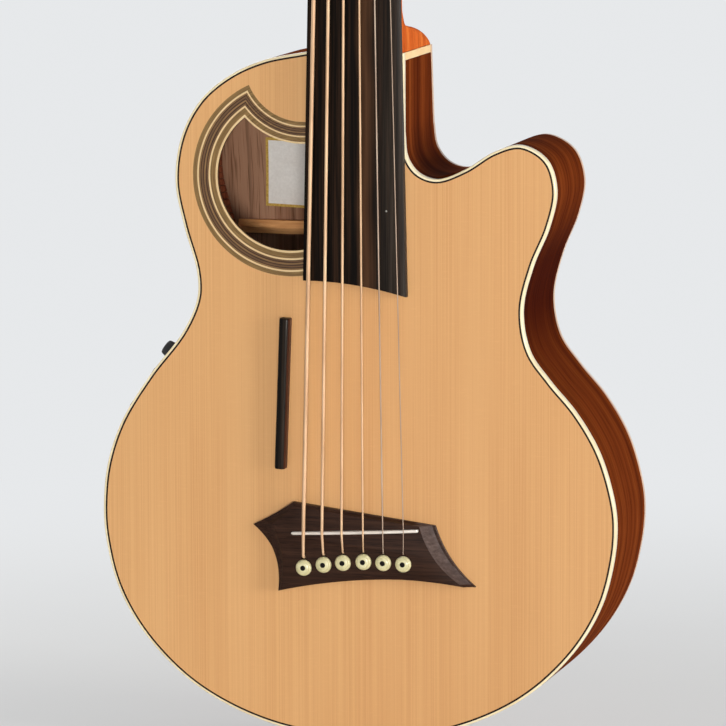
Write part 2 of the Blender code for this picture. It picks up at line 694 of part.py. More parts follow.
def tail_edge(x):
    """Z of the outline at the tail, at a place across it."""
    for a, b in zip(OUTLINE, OUTLINE[1:]):
        if a.x <= x <= b.x and a.y < 0.0:
            return a.y + (b.y - a.y) * (x - a.x) / (b.x - a.x)
    return TAIL_Z


def blocks():
    rings = [block_ring(x, JOINT_Z, -1, NECK_BLOCK_LENGTH) for x in NECK_BLOCK_SIDES]
    link_object("neck_block", finish_mesh("neck_block", loft(rings)), MAHOGANY, SADDLE_LINE)
    half = TAIL_BLOCK_HALF_WIDTH
    across = (-half, -half / 2, 0.0, half / 2, half)
    rings = [block_ring(x, tail_edge(x), 1, TAIL_BLOCK_LENGTH) for x in across]
    tail = link_object("tail_block", finish_mesh("tail_block", loft(rings)), MAHOGANY, SADDLE_LINE)
    boolean(tail, jack_cutter())


def bar_ring(centre, across, half_width, wall, crest):
    """A brace's cross-section: upright sides and a peaked top, in a plane through the bar."""
    middle = Vector(centre)
    side = Vector(across) * half_width
    down = Vector((0.0, wall, 0.0))
    return [middle - side, middle + side, middle + side + down * 0.55, middle + Vector((0.0, crest, 0.0)),
            middle - side + down * 0.55]


def top_brace():
    """The two bars of the X-brace, lapped where they cross."""
    y = SOUNDBOARD_THICKNESS + GAP
    bars = []
    for sign in (1.0, -1.0):
        along = Vector((math.sin(BRACE_ANGLE) * sign, 0.0, math.cos(BRACE_ANGLE)))
        across = Vector((along.z, 0.0, -along.x))
        rings = []
        for reach, height in ((-BRACE_LOWER_LENGTH, BRACE_END_HEIGHT),
                              (-BRACE_LOWER_LENGTH + BRACE_LOWER_TAPER, BRACE_HEIGHT),
                              (BRACE_UPPER_LENGTH - BRACE_UPPER_TAPER, BRACE_HEIGHT),
                              (BRACE_UPPER_LENGTH, BRACE_END_HEIGHT)):
            centre = Vector((0.0, y, BRACE_CROSSING_Z * STRETCH)) + along * reach
            rings.append(bar_ring(centre, across, BRACE_WIDTH / 2, height, height))
        bars.append(finish_mesh("x_brace", loft(rings)))
    brace = link_object("x_brace", bars[0], BRACE_WOOD, SADDLE_LINE)
    boolean(brace, cutter_from("x_brace_second_bar", bars[1], SADDLE_LINE), "UNION")


def inner_half_width(z, side):
    """Distance from the string line to the lining's inner face on one side, at a height."""
    loop = offset_loop(OUTLINE, RIM_THICKNESS + 2 * GAP + LINING_WIDTH)
    crossings = []
    for a, b in zip(loop, loop[1:]):
        if (a.y - z) * (b.y - z) <= 0.0 and a.y != b.y:
            crossings.append(a.x + (b.x - a.x) * (z - a.y) / (b.y - a.y))
    return min(abs(x) for x in crossings if x * side > 20.0)


def back_bracing():
    """Cross bars on the back, joined by the strip that covers its centre seam."""
    def seat(x, z):
        return body_depth(x, z) - BACK_THICKNESS - 2 * GAP

    rows = 14
    rings = []
    for i in range(rows + 1):
        z = (BACK_STRIP_LOW_Z + (BACK_STRIP_HIGH_Z - BACK_STRIP_LOW_Z) * i / rows) * STRETCH
        y = seat(BACK_STRIP_HALF_WIDTH, z)
        half = BACK_STRIP_HALF_WIDTH
        rings.append([(-half, y, z), (half, y, z), (half - BACK_STRIP_TAPER, y - BACK_STRIP_HEIGHT, z),
                      (-half + BACK_STRIP_TAPER, y - BACK_STRIP_HEIGHT, z)])
    strip = link_object("back_bracing", finish_mesh("back_bracing", loft(rings)), BRACE_WOOD, SADDLE_LINE)
    half = BACK_BRACE_WIDTH / 2
    for i, z in enumerate(place * STRETCH for place in BACK_BRACE_PLACES):
        left = -min(inner_half_width(z - half, -1), inner_half_width(z + half, -1)) + GAP
        right = min(inner_half_width(z - half, 1), inner_half_width(z + half, 1)) - GAP
        rings = []
        for step in range(7):
            share = step / 6
            x = left + (right - left) * share
            height = BACK_BRACE_HEIGHT if 0 < step < 6 else BACK_BRACE_END_HEIGHT
            low, high = seat(x, z - half), seat(x, z + half)
            rings.append([(x, low, z - half), (x, high, z + half), (x, high - height * 0.6, z + half),
                          (x, min(low, high) - height, z), (x, low - height * 0.6, z - half)])
        mesh = finish_mesh(f"back_brace_{i}", loft(rings))
        boolean(strip, cutter_from(f"back_brace_{i}", mesh, SADDLE_LINE), "UNION")


def bridge_plate():
    """The maple plate under the soundboard that the strings' balls pull against."""
    edge = [Vector((-PLATE_HALF_WIDTH, PLATE_LOW_Z)), Vector((PLATE_HALF_WIDTH, PLATE_LOW_Z)),
            Vector((PLATE_HALF_WIDTH, PLATE_HIGH_Z)), Vector((-PLATE_HALF_WIDTH, PLATE_HIGH_Z))]
    front = SOUNDBOARD_THICKNESS + GAP
    flat_piece("bridge_plate", [edge] + pin_holes(), front, front + PLATE_THICKNESS, BRACE_WOOD,
               SADDLE_LINE)


# Neck

def neck_section(z, half_width, front, depth, squareness, steps=12):
    """A flat front and a back that goes from round, at 1, to square, near 0."""
    ring = []
    for i in range(steps + 1):
        angle = math.pi * i / steps
        across = math.copysign(abs(math.cos(angle)) ** squareness, math.cos(angle))
        ring.append((half_width * across, front + depth * max(math.sin(angle), 0.0) ** squareness, z))
    return ring


def neck():
    """Neck, heel and headstock, carved from one piece."""
    rings = []
    heel_end = HEEL_PROFILE[-1][0]
    for along, depth in HEEL_PROFILE:
        z = JOINT_Z + along
        squareness = HEEL_ROUNDNESS + HEEL_ROUNDNESS_GAIN * (along / heel_end) ** HEEL_ROUNDNESS_POWER
        rings.append(neck_section(z, neck_half_width(z), FACE_Y, depth, squareness))
    for share in (0.3, 0.65, 0.96):
        z = JOINT_Z + heel_end + (NUT_Z - JOINT_Z - heel_end) * share
        depth = HEEL_PROFILE[-1][1] + (NECK_DEPTH_AT_NUT - HEEL_PROFILE[-1][1]) * share
        rings.append(neck_section(z, neck_half_width(z), FACE_Y, depth, 0.9))
    slab = HEADSTOCK_THICKNESS / math.cos(HEADSTOCK_ANGLE)
    for reach, half_width in HEADSTOCK_OUTLINE:
        z = HEADSTOCK_Z + reach * math.cos(HEADSTOCK_ANGLE)
        front = reach * math.sin(HEADSTOCK_ANGLE)
        squareness = 0.2 if reach > 20.0 else 0.8 - 0.03 * reach
        rings.append(neck_section(z, half_width, front, slab, squareness))
    carved = link_object("neck", finish_mesh("neck", loft(rings)), MAHOGANY, SADDLE_LINE)
    half = TRUSS_ROD_WIDTH / 2 + GAP
    boolean(carved, cutter_from("truss_rod_cutter", box_mesh(
        "truss_rod_cutter", (-half, -2.0, TRUSS_ROD_LOW_Z - GAP),
        (half, TRUSS_ROD_DEPTH + 2 * GAP, TRUSS_ROD_HIGH_Z + GAP)), SADDLE_LINE))
    seat = cylinder_mesh("strap_button_seat", STRAP_BUTTON_RADIUS + GAP, (0.0, 0.0, 0.0),
                         (0.0, -8.0, 0.0), 18)
    boolean(carved, cutter_from("strap_button_seat", seat, SADDLE_LINE, strap_button_matrix(0.0)))
    for i, (x, z) in enumerate(POST_PLACES):
        mesh = cylinder_mesh(f"tuner_hole_{i}", BUSHING_RADIUS + GAP, (x, -6.0, z),
                             (x, HEADSTOCK_THICKNESS + 6.0, z), 16)
        boolean(carved, cutter_from(f"tuner_hole_{i}", mesh, HEADSTOCK_FACE))


def truss_rod():
    half = TRUSS_ROD_WIDTH / 2
    mesh = box_mesh("truss_rod", (-half, GAP, TRUSS_ROD_LOW_Z),
                    (half, TRUSS_ROD_DEPTH + GAP, TRUSS_ROD_HIGH_Z))
    link_object("truss_rod", mesh, ROD_STEEL, SADDLE_LINE)


def board_section(half_width, place_of):
    """One row across the fingerboard: its flat underside, then its radiused top back again."""
    steps = 10
    across = [half_width * (1 - 2 * i / steps) for i in range(steps + 1)]
    underside = [(x, -GAP, place_of(x)) for x in across]
    top = [(x, -BOARD_TOP + crown(x), place_of(x)) for x in reversed(across)]
    return underside + top


def fingerboard():
    """Ebony, without frets, with a slanted and curved end over the soundboard."""
    def end_place(x):
        return BOARD_LOW_Z + BOARD_END_SLOPE * x + BOARD_END_CURVE * x * x

    rings = [board_section(neck_half_width(NUT_Z), lambda x: NUT_Z - GAP),
             board_section(BOARD_END_HALF_WIDTH, end_place)]
    link_object("fingerboard", finish_mesh("fingerboard", loft(rings, ladder_caps=True)), EBONY,
                SADDLE_LINE)


def string_nut_x(i):
    return (i - 2.5) * STRING_NUT_PITCH


def string_height(x, i, top):
    """Y of a string's centre where its underside lies a gap above a crowned top."""
    return -(top + GAP + STRING_DIAMETERS[i] / 2) + crown(x)


def nut():
    """Bone, with a slot for each string cut to half its depth."""
    half = neck_half_width(NUT_Z)
    steps = 12
    rings = []
    for i in range(steps + 1):
        x = half * (2 * i / steps - 1)
        top = -(BOARD_TOP + NUT_TOP) + crown(x)
        rings.append([(x, -GAP, NUT_Z), (x, -GAP, NUT_Z + NUT_LENGTH), (x, top + 1.0, NUT_Z + NUT_LENGTH),
                      (x, top, NUT_Z + NUT_LENGTH - 1.5), (x, top, NUT_Z)])
    piece = link_object("nut", finish_mesh("nut", loft(rings)), BONE, SADDLE_LINE)
    for i, diameter in enumerate(STRING_DIAMETERS):
        x = string_nut_x(i)
        y = string_height(x, i, BOARD_TOP + 0.5)
        back = NUT_Z + NUT_LENGTH + 3.0
        mesh = cylinder_mesh(f"nut_slot_{i}", diameter / 2 + GAP, (x, y, NUT_Z - 3.0), (x, y, back), 10)
        boolean(piece, cutter_from(f"nut_slot_{i}", mesh, SADDLE_LINE))


# Bridge

def bridge():
    """A carved bridge: a thick middle with two scooped wings that run out to points."""
    def outline(corners, sags):
        loop = []
        for i, (corner, sag, steps) in enumerate(zip(corners, sags, BRIDGE_EDGE_STEPS)):
            loop += edge_with_sag(corner, corners[(i + 1) % len(corners)], sag, steps)
        return loop

    base = outline(BRIDGE_CORNERS, BRIDGE_SAGS)
    top = outline(BRIDGE_TOP_CORNERS, BRIDGE_TOP_SAGS)
    foot = [(p.x, -GAP, p.y) for p in base]
    shoulder = []
    for p, q in zip(base, top):
        slope = min((q - p).length / 9.0, 1.0)
        shoulder.append((p.x, -GAP - BRIDGE_HEIGHT + (BRIDGE_HEIGHT - BRIDGE_EDGE_HEIGHT) * slope, p.y))
    scoop = []
    for (px, py, pz), q in zip(shoulder, top):
        scoop.append(((px + q.x * 1.4) / 2.4, (py * 2 - BRIDGE_TOP) / 3, (pz + q.y * 1.4) / 2.4))
    crest = [(q.x, -BRIDGE_TOP, q.y) for q in top]
    body = link_object("bridge", finish_mesh("bridge", loft([foot, shoulder, scoop, crest])), DARK_ROSEWOOD,
                       SADDLE_LINE)
    for i, loop in enumerate(pin_holes()):
        keyhole = flat_piece(f"bridge_keyhole_{i}", [loop], -BRIDGE_TOP - 2.0, 2.0, None, SADDLE_LINE)
        boolean(body, as_cutter(keyhole))
    reach, half = saddle_half_length() + GAP, SADDLE_THICKNESS / 2 + GAP
    slot = box_mesh("saddle_slot", (-reach, -BRIDGE_TOP - 2.0, -half),
                    (reach, -BRIDGE_TOP + SADDLE_SLOT_DEPTH, half))
    boolean(body, cutter_from("saddle_slot", slot, SADDLE_LINE, saddle_matrix()))


def saddle_half_length():
    return (Vector(SADDLE_ENDS[1]) - Vector(SADDLE_ENDS[0])).length / 2


def saddle_matrix():
    """The saddle's own frame: x along it, turned a little for the thick strings' intonation."""
    a, b = Vector(SADDLE_ENDS[0]), Vector(SADDLE_ENDS[1])
    middle = (a + b) / 2
    turn = Matrix.Rotation(-math.atan2(b.y - a.y, b.x - a.x), 4, "Y")
    return at(middle.x, 0.0, middle.y) @ turn


def saddle():
    """Bone, crowned to the fingerboard's radius, seated on the pickup."""
    half = saddle_half_length()
    floor = -BRIDGE_TOP + SADDLE_SLOT_DEPTH - PICKUP_THICKNESS - 2 * GAP
    steps = 14
    rings = []
    for i in range(steps + 1):
        x = half * (2 * i / steps - 1)
        top = -SADDLE_TOP + crown(x)
        side = SADDLE_THICKNESS / 2
        rings.append([(x, floor, -side), (x, floor, side), (x, top + 1.0, side), (x, top, 0.5),
                      (x, top, -0.5), (x, top + 1.0, -side)])
    link_object("saddle", finish_mesh("saddle", loft(rings)), BONE, SADDLE_LINE, saddle_matrix())


def undersaddle_pickup():
    back = -BRIDGE_TOP + SADDLE_SLOT_DEPTH - GAP
    reach, half = saddle_half_length(), PICKUP_WIDTH / 2
    mesh = box_mesh("undersaddle_pickup", (-reach, back - PICKUP_THICKNESS, -half), (reach, back, half))
    link_object("undersaddle_pickup", mesh, ROD_STEEL, SADDLE_LINE, saddle_matrix())


def bridge_pins():
    """Tapered pins with domed heads, fluted on the side that their string passes."""
    head = PIN_HEAD_HEIGHT
    profile = [(0.0, -head), (2.6, -head + 0.1), (4.6, -head + 0.7), (6.0, -head + 1.9),
               (PIN_HEAD_RADIUS, -0.7), (PIN_HEAD_RADIUS, 0.0), (PIN_SHANK_RADIUS, 0.0),
               (PIN_TIP_RADIUS, PIN_LENGTH - 2.0), (1.6, PIN_LENGTH), (0.0, PIN_LENGTH)]
    flute = box_mesh("pin_flute", (-8.0, -0.4, PIN_FLUTE), (8.0, PIN_LENGTH + 2.0, 9.0))
    seat = -BRIDGE_TOP - GAP
    turned = turned_mesh("bridge_pin", profile, 12, PIN_PLASTIC)
    for i, (x, z) in enumerate(PIN_PLACES):
        pin = link_object(f"bridge_pin_{i + 1}", turned, None, SADDLE_LINE, at(x, seat, z))
        cutter = cutter_from(f"pin_flute_{i + 1}", flute, SADDLE_LINE, at(x, seat, z))
        boolean(pin, cutter)


def thumb_rest():
    """A black bar for the thumb, with a rounded top."""
    a, b = [Vector(place) for place in stretched(THUMB_REST_ENDS)]
    middle = (a + b) / 2
    half_length = (a - b).length / 2
    lean = math.atan2(a.x - b.x, a.y - b.y)
    half = THUMB_REST_WIDTH / 2
    height = THUMB_REST_HEIGHT
    section = [(-half, 0.0), (half, 0.0), (half, -height * 0.55), (half * 0.72, -height * 0.85),
               (half * 0.3, -height), (-half * 0.3, -height), (-half * 0.72, -height * 0.85),
               (-half, -height * 0.55)]
    rings = []
    for place, drop in ((-half_length, 0.93), (-half_length + 1.0, 1.0), (half_length - 1.0, 1.0),
                        (half_length, 0.93)):
        rings.append([(x * drop, y * drop, place) for x, y in section])
    mesh = finish_mesh("thumb_rest", loft(rings))
    link_object("thumb_rest", mesh, EBONY, SADDLE_LINE,
                at(middle.x, -GAP, middle.y) @ Matrix.Rotation(lean, 4, "Y"))


# Strings

def wrap_points(i, towards):
    """A string's turns round its post, in the headstock's frame, and where it first touches."""
    x, z = POST_PLACES[i]
    radius = POST_WAIST_RADIUS + GAP + STRING_DIAMETERS[i] / 2
    side = 1.0 if x < 0.0 else -1.0
    touch = Vector((x + side * radius, z))
    for _ in range(4):
        run = (touch - towards).normalized()
        touch = Vector((x, z)) + Vector((run.y, -run.x)) * side * radius
    start = math.atan2(touch.y - z, touch.x - x)
    pitch = STRING_DIAMETERS[i] + TURN_GAP
    rise = -TURNS_FROM_FACE - STRING_DIAMETERS[i] / 2
    points = []
    count = int(STRING_TURNS * TURN_POINTS)
    for step in range(count + 1):
        angle = start + side * 2 * math.pi * step / TURN_POINTS
        y = rise + pitch * step / TURN_POINTS
        points.append(Vector((x + radius * math.cos(angle), y, z + radius * math.sin(angle))))
    return points


def string_route(i):
    """A string's whole path: ball, pin, saddle, nut and post. Each point has its radius."""
    radius = STRING_DIAMETERS[i] / 2
    pin_x, pin_z = PIN_PLACES[i]
    ball_y = SOUNDBOARD_THICKNESS + PLATE_THICKNESS + 2 * GAP + BALL_RADIUS + 0.7
    ball_z = pin_z + PIN_FLUTE + GAP + BALL_RADIUS
    route = []
    for along, size in ((1.0, 0.25), (0.75, 0.7), (0.0, 1.0), (-0.75, 0.7)):
        place = Vector((pin_x, ball_y + along * BALL_RADIUS, ball_z))
        route.append((place, max(BALL_RADIUS * size, radius * 0.8)))
    route.append((Vector((pin_x, ball_y - BALL_RADIUS - 0.4, ball_z)), radius))
    corner_y, corner_z = -BRIDGE_TOP, pin_z + pin_slot_end(i)
    bend = radius + GAP + 0.05
    route.append((Vector((pin_x, corner_y + 1.5, corner_z - bend)), radius))
    saddle_x = STRING_SADDLE_X[i]
    a, b = Vector(SADDLE_ENDS[0]), Vector(SADDLE_ENDS[1])
    saddle_z = a.y + (b.y - a.y) * (saddle_x - a.x) / (b.x - a.x)
    saddle_y = string_height(saddle_x, i, SADDLE_TOP)
    climb = math.atan2(corner_y - bend - saddle_y, saddle_z - corner_z)
    for share in (0.0, 1 / 3, 2 / 3, 1.0):
        turn = (math.pi / 2 - climb) * share
        place = Vector((pin_x, corner_y - bend * math.sin(turn), corner_z - bend * math.cos(turn)))
        route.append((place, radius))
    route.append((Vector((saddle_x, saddle_y, saddle_z)), radius))
    nut_x = string_nut_x(i)
    nut_y = string_height(nut_x, i, BOARD_TOP + 0.5)
    route.append((Vector((nut_x, nut_y, NUT_Z + 0.5)), radius))
    frame = HEADSTOCK_FACE.matrix_local
    inside = frame.inverted() @ (Vector((nut_x, nut_y, NUT_Z + NUT_LENGTH - 1.0)) * MM) / MM
    route.append((Vector((nut_x, nut_y, NUT_Z + NUT_LENGTH - 1.0)), radius))
    turns = wrap_points(i, Vector((inside.x, inside.z)))
    for point in turns:
        route.append((frame @ (point * MM) / MM, radius))
    return route, turns


def strings():
    for i, diameter in enumerate(STRING_DIAMETERS):
        route, turns = string_route(i)
        curve = bpy.data.curves.new(f"string_{i + 1}", "CURVE")
        curve.dimensions = "3D"
        curve.bevel_depth = 1.0 * MM
        curve.bevel_resolution = 1
        curve.use_fill_caps = True
        spline = curve.splines.new("POLY")
        spline.points.add(len(route) - 1)
        for point, (place, radius) in zip(spline.points, route):
            point.co = (*(place * MM), 1.0)
            point.radius = radius
        drawn = bpy.data.objects.new(f"string_{i + 1}", curve)
        PARTS.objects.link(drawn)
        drawn.parent = SADDLE_LINE
        curve.materials.append(BRONZE)
        least = min((p - q).length for n, p in enumerate(turns) for q in turns[n + TURN_POINTS // 2:])
        print(f"string {i + 1}: least gap between its turns {least - diameter:.2f} mm")


# Tuners

def tuner_housing_mesh(name, side):
    """Gear housing, bushing and ferrule as one casting, in the post's frame, opening outwards."""
    size_x, size_y, size_z = HOUSING_SIZE
    front = HEADSTOCK_THICKNESS + GAP
    bm = bmesh.new()
    bmesh.ops.create_cube(bm, size=1.0)
    bmesh.ops.scale(bm, vec=(size_x, size_y, size_z), verts=bm.verts)
    bmesh.ops.bevel(bm, geom=bm.edges[:], offset=2.5, segments=1, affect="EDGES")
    bmesh.ops.translate(bm, vec=(0.0, front + size_y / 2, -WORM_DROP / 2 + 1.0), verts=bm.verts)
    casting = link_object(name, finish_mesh(name, bm), CHROME, HEADSTOCK_FACE)
    profile = [(0.0, -FERRULE_HEIGHT - GAP), (FERRULE_RADIUS - 1.5, -FERRULE_HEIGHT - GAP),
               (FERRULE_RADIUS, -FERRULE_HEIGHT + 1.0), (FERRULE_RADIUS, -GAP), (BUSHING_RADIUS, -GAP),
               (BUSHING_RADIUS, front + 2.0), (0.0, front + 2.0)]
    sleeve = turned_mesh(name + "_sleeve", profile, 16, CHROME)
    boolean(casting, cutter_from(name + "_sleeve", sleeve, HEADSTOCK_FACE), "UNION")
    bore = cylinder_mesh(name + "_bore", POST_RADIUS + GAP, (0.0, -8.0, 0.0), (0.0, front + 10.0, 0.0), 16)
    boolean(casting, cutter_from(name + "_bore", bore, HEADSTOCK_FACE))
    mouth = side * (size_x / 2 + 3.0)
    seat = side * (size_x / 2 - 5.0)
    worm = cylinder_mesh(name + "_worm_bore", WORM_RADIUS + GAP, (seat, front + size_y / 2, -WORM_DROP),
                         (mouth, front + size_y / 2, -WORM_DROP), 16)
    boolean(casting, cutter_from(name + "_worm_bore", worm, HEADSTOCK_FACE))
    mesh = bpy.data.meshes.new_from_object(casting.evaluated_get(bpy.context.evaluated_depsgraph_get()))
    bpy.data.objects.remove(casting, do_unlink=True)
    return mesh


def post_mesh():
    """String post with a drawn-in waist and the slot that takes the string's end."""
    back = HEADSTOCK_THICKNESS + GAP + 9.5
    waist_front, waist_back = -POST_TOP + 4.5, -4.2
    profile = [(0.0, -POST_TOP), (POST_RADIUS - 0.6, -POST_TOP), (POST_RADIUS + 0.6, -POST_TOP + 1.2),
               (POST_RADIUS + 0.6, waist_front - 1.4), (POST_WAIST_RADIUS, waist_front),
               (POST_WAIST_RADIUS, waist_back - 1.0), (POST_RADIUS, waist_back), (POST_RADIUS, back),
               (0.0, back)]
    turned = turned_mesh("string_post", profile, 12, CHROME)
    post = link_object("string_post", turned, CHROME, HEADSTOCK_FACE)
    slot = box_mesh("post_slot", (-1.3, -POST_TOP - 2.0, -9.0), (1.3, -POST_TOP + 3.0, 9.0))
    boolean(post, cutter_from("post_slot", slot, HEADSTOCK_FACE))
    mesh = bpy.data.meshes.new_from_object(post.evaluated_get(bpy.context.evaluated_depsgraph_get()))
    bpy.data.objects.remove(post, do_unlink=True)
    return mesh


def button_mesh(side):
    """Worm shaft and oval button in one piece, with its origin on the shaft's axis."""
    name = f"tuner_button_mesh_{'treble' if side > 0 else 'bass'}"
    bm = bmesh.new()
    bmesh.ops.create_uvsphere(bm, u_segments=12, v_segments=6, radius=1.0)
    half = [size / 2 for size in BUTTON_SIZE]
    for vert in bm.verts:
        vert.co = [math.copysign(abs(value) ** 0.7, value) * reach for value, reach in zip(vert.co, half)]
    bmesh.ops.translate(bm, vec=(side * (BUTTON_REACH + half[0] - 4.0), 0.0, 0.0), verts=bm.verts)
    button = link_object(name, finish_mesh(name, bm), CHROME, HEADSTOCK_FACE)
    inner = side * (HOUSING_SIZE[0] / 2 - 4.5)
    shaft = cylinder_mesh(name + "_shaft", WORM_RADIUS, (inner, 0.0, 0.0),
                          (side * (BUTTON_REACH + 2.0), 0.0, 0.0), 12)
    shoulder = side * (HOUSING_SIZE[0] / 2 + GAP)
    collar = cylinder_mesh(name + "_collar", WORM_RADIUS + 1.5, (shoulder, 0.0, 0.0),
                           (side * (BUTTON_REACH - 1.0), 0.0, 0.0), 12)
    boolean(button, cutter_from(name + "_shaft", shaft, HEADSTOCK_FACE), "UNION")
    boolean(button, cutter_from(name + "_collar", collar, HEADSTOCK_FACE), "UNION")
    mesh = bpy.data.meshes.new_from_object(button.evaluated_get(bpy.context.evaluated_depsgraph_get()))
    bpy.data.objects.remove(button, do_unlink=True)
    return mesh


def tuners():
    housings = {side: tuner_housing_mesh(f"tuner_housing_mesh_{side}", side) for side in (-1, 1)}
    buttons = {side: button_mesh(side) for side in (-1, 1)}
    post = post_mesh()
    worm_y = HEADSTOCK_THICKNESS + GAP + HOUSING_SIZE[1] / 2
    for i, (x, z) in enumerate(POST_PLACES):
        side = 1 if x > 0.0 else -1
        link_object(f"tuner_housing_{i + 1}", housings[side], None, HEADSTOCK_FACE, at(x, 0.0, z))
        link_object(f"string_post_{i + 1}", post, None, HEADSTOCK_FACE, at(x, 0.0, z))
        link_object(f"tuner_button_{i + 1}", buttons[side], None, HEADSTOCK_FACE,
                    at(x, worm_y, z - WORM_DROP))


# Preamp

def preamp_matrix():
    """The preamp's frame, on the chord of the bass side that its plate spans."""
    path = smooth_curve(stretched(BASS_SHOULDER))
    middle_z = PREAMP_Z * STRETCH
    centre = min(path, key=lambda point: abs(point.y - middle_z))
    reach = PREAMP_SIZE[0] / 2
    below = [p for p in path if p.y < middle_z]
    above = [p for p in path if p.y > middle_z]
    low = min(below, key=lambda p: abs((p - centre).length - reach))
    high = min(above, key=lambda p: abs((p - centre).length - reach))
    along = (high - low).normalized()
    outwards = Vector((-along.y, along.x))
    middle = (low + high) / 2 + outwards * PREAMP_SEAT
    return Matrix(((along.x, 0.0, outwards.x, middle.x * MM), (0.0, 1.0, 0.0, PREAMP_DEPTH * MM),
                   (along.y, 0.0, outwards.y, middle.y * MM), (0.0, 0.0, 0.0, 1.0)))


PREAMP_FRAME = add_empty("preamp_frame", preamp_matrix(), SADDLE_LINE)


def preamp_panel():
    """Face plate and closed housing in one moulding, with slots for the sliders."""
    half_length, half_height = PREAMP_SIZE[0] / 2, PREAMP_SIZE[1] / 2
    mesh = box_mesh("preamp_panel", (-half_length, -half_height, 0.0),
                    (half_length, half_height, PREAMP_PLATE), 1.0)
    panel = link_object("preamp_panel", mesh, BLACK_PLASTIC, PREAMP_FRAME)
    body_length, body_height, body_depth_in = PREAMP_BODY
    housing = box_mesh("preamp_housing", (-body_length / 2, -body_height / 2, -body_depth_in),
                       (body_length / 2, body_height / 2, 1.0))
    boolean(panel, cutter_from("preamp_housing", housing, PREAMP_FRAME), "UNION")
    for i, x in enumerate(SLIDER_PLACES):
        half = SLIDER_STEM[0] / 2 + 0.4
        reach = SLIDER_TRAVEL + SLIDER_STEM[1] / 2 + 0.5
        slot = box_mesh(f"slider_slot_{i}", (x - half, -reach, PREAMP_PLATE - SLIDER_STEM[2] - 0.5),
                        (x + half, reach, PREAMP_PLATE + 2.0))
        boolean(panel, cutter_from(f"slider_slot_{i}", slot, PREAMP_FRAME))
    hole = cylinder_mesh("knob_hole", KNOB_SHAFT_RADIUS + GAP, (KNOB_PLACE, 0.0, -4.0),
                         (KNOB_PLACE, 0.0, PREAMP_PLATE + 2.0), 16)
    boolean(panel, cutter_from("knob_hole", hole, PREAMP_FRAME))


def volume_knob():
    base = PREAMP_PLATE + GAP
    tip = base + KNOB_HEIGHT
    profile = [(0.0, -tip), (KNOB_RADIUS - 2.4, -tip), (KNOB_RADIUS - 1.0, -tip + 0.9),
               (KNOB_RADIUS, -base - 3.0),
               (KNOB_RADIUS, -base), (KNOB_SHAFT_RADIUS, -base), (KNOB_SHAFT_RADIUS, 3.0), (0.0, 3.0)]
    mesh = turned_mesh("volume_knob", profile, 18, BLACK_PLASTIC)
    face_outwards = Matrix.Rotation(-math.pi / 2, 4, "X")
    link_object("volume_knob", mesh, None, PREAMP_FRAME, at(KNOB_PLACE, 0.0, 0.0) @ face_outwards)


def slider_caps():
    """Caps that slide across the panel, each with its stem in its slot."""
    size_x, size_y, size_z = SLIDER_CAP
    stem_x, stem_y, stem_z = SLIDER_STEM
    base = PREAMP_PLATE + GAP
    for i, x in enumerate(SLIDER_PLACES):
        name = f"slider_cap_{i + 1}"
        mesh = box_mesh(name, (-size_x / 2, -size_y / 2, base), (size_x / 2, size_y / 2, base + size_z),
                        0.8)
        cap = link_object(name, mesh, BLACK_PLASTIC, PREAMP_FRAME, at(x, 0.0, 0.0))
        stem = box_mesh(name + "_stem", (-stem_x / 2, -stem_y / 2, PREAMP_PLATE - stem_z),
                        (stem_x / 2, stem_y / 2, base + 1.0))
        boolean(cap, cutter_from(name + "_stem", stem, PREAMP_FRAME, at(x, 0.0, 0.0)), "UNION")


# Fittings

def end_pin_jack():
    """Jack socket whose flange is also the tail's strap button."""
    barrel, flange = JACK_BARREL_RADIUS, JACK_FLANGE_RADIUS
    profile = [(JACK_BORE_RADIUS, -11.0), (flange - 2.0, -11.0), (flange - 1.0, -10.0),
               (flange - 1.0, -8.5), (barrel + 0.5, -7.0), (barrel + 0.5, -3.5), (flange, -2.0), (flange, -GAP), (barrel, -GAP),
               (barrel, JACK_LENGTH), (0.0, JACK_LENGTH), (0.0, JACK_LENGTH - 6.0),
               (JACK_BORE_RADIUS, JACK_LENGTH - 6.0), (JACK_BORE_RADIUS, -11.0)]
    mesh = turned_mesh("end_pin_jack", profile, 16, CHROME)
    face_down = Matrix.Rotation(math.pi / 2, 4, "X")
    link_object("end_pin_jack", mesh, None, SADDLE_LINE, at(0.0, JACK_DEPTH, TAIL_Z) @ face_down)


def strap_button_matrix(gap):
    """The strap button's frame on the heel's bass side: y runs into the wood."""
    x = -neck_half_width(JOINT_Z) + STRAP_BUTTON_SEAT - gap
    return at(x, STRAP_BUTTON_DEPTH, JOINT_Z + STRAP_BUTTON_RISE) @ Matrix.Rotation(-math.pi / 2, 4, "Z")


def strap_button():
    """Button on the bass side of the heel, for the strap's upper end."""
    radius, height = STRAP_BUTTON_RADIUS, STRAP_BUTTON_HEIGHT
    profile = [(0.0, -height), (radius - 2.0, -height), (radius, -height + 1.5), (radius, -height + 2.5),
               (3.4, -height + 4.5), (3.4, -3.0), (radius - 0.5, -1.0), (radius - 0.5, 0.0), (0.0, 0.0)]
    mesh = turned_mesh("strap_button", profile, 14, CHROME)
    link_object("strap_button", mesh, None, SADDLE_LINE, strap_button_matrix(GAP))


for build_piece in (soundboard, rosette, rim, heel_strip, back_panel, bindings, linings, blocks, top_brace,
                    back_bracing, bridge_plate, neck, truss_rod, fingerboard, nut, bridge, saddle,
                    undersaddle_pickup, bridge_pins, thumb_rest, strings, tuners, preamp_panel, volume_knob,
                    slider_caps, end_pin_jack, strap_button):
    build_piece()
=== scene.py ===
# %% [markdown]
# # A six-string acoustic bass guitar, dressed for its portrait
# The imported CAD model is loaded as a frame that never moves. Each piece of the instrument is
# then modelled again in finer form, or keeps its solid and gets a better finish. Everything is
# in metres, but the maker's numbers below are millimetres measured from the saddle, because a
# guitar maker lays the whole instrument out from there.

# %% Load the frame
import math

import bmesh
import bpy
from mathutils import Matrix, Vector


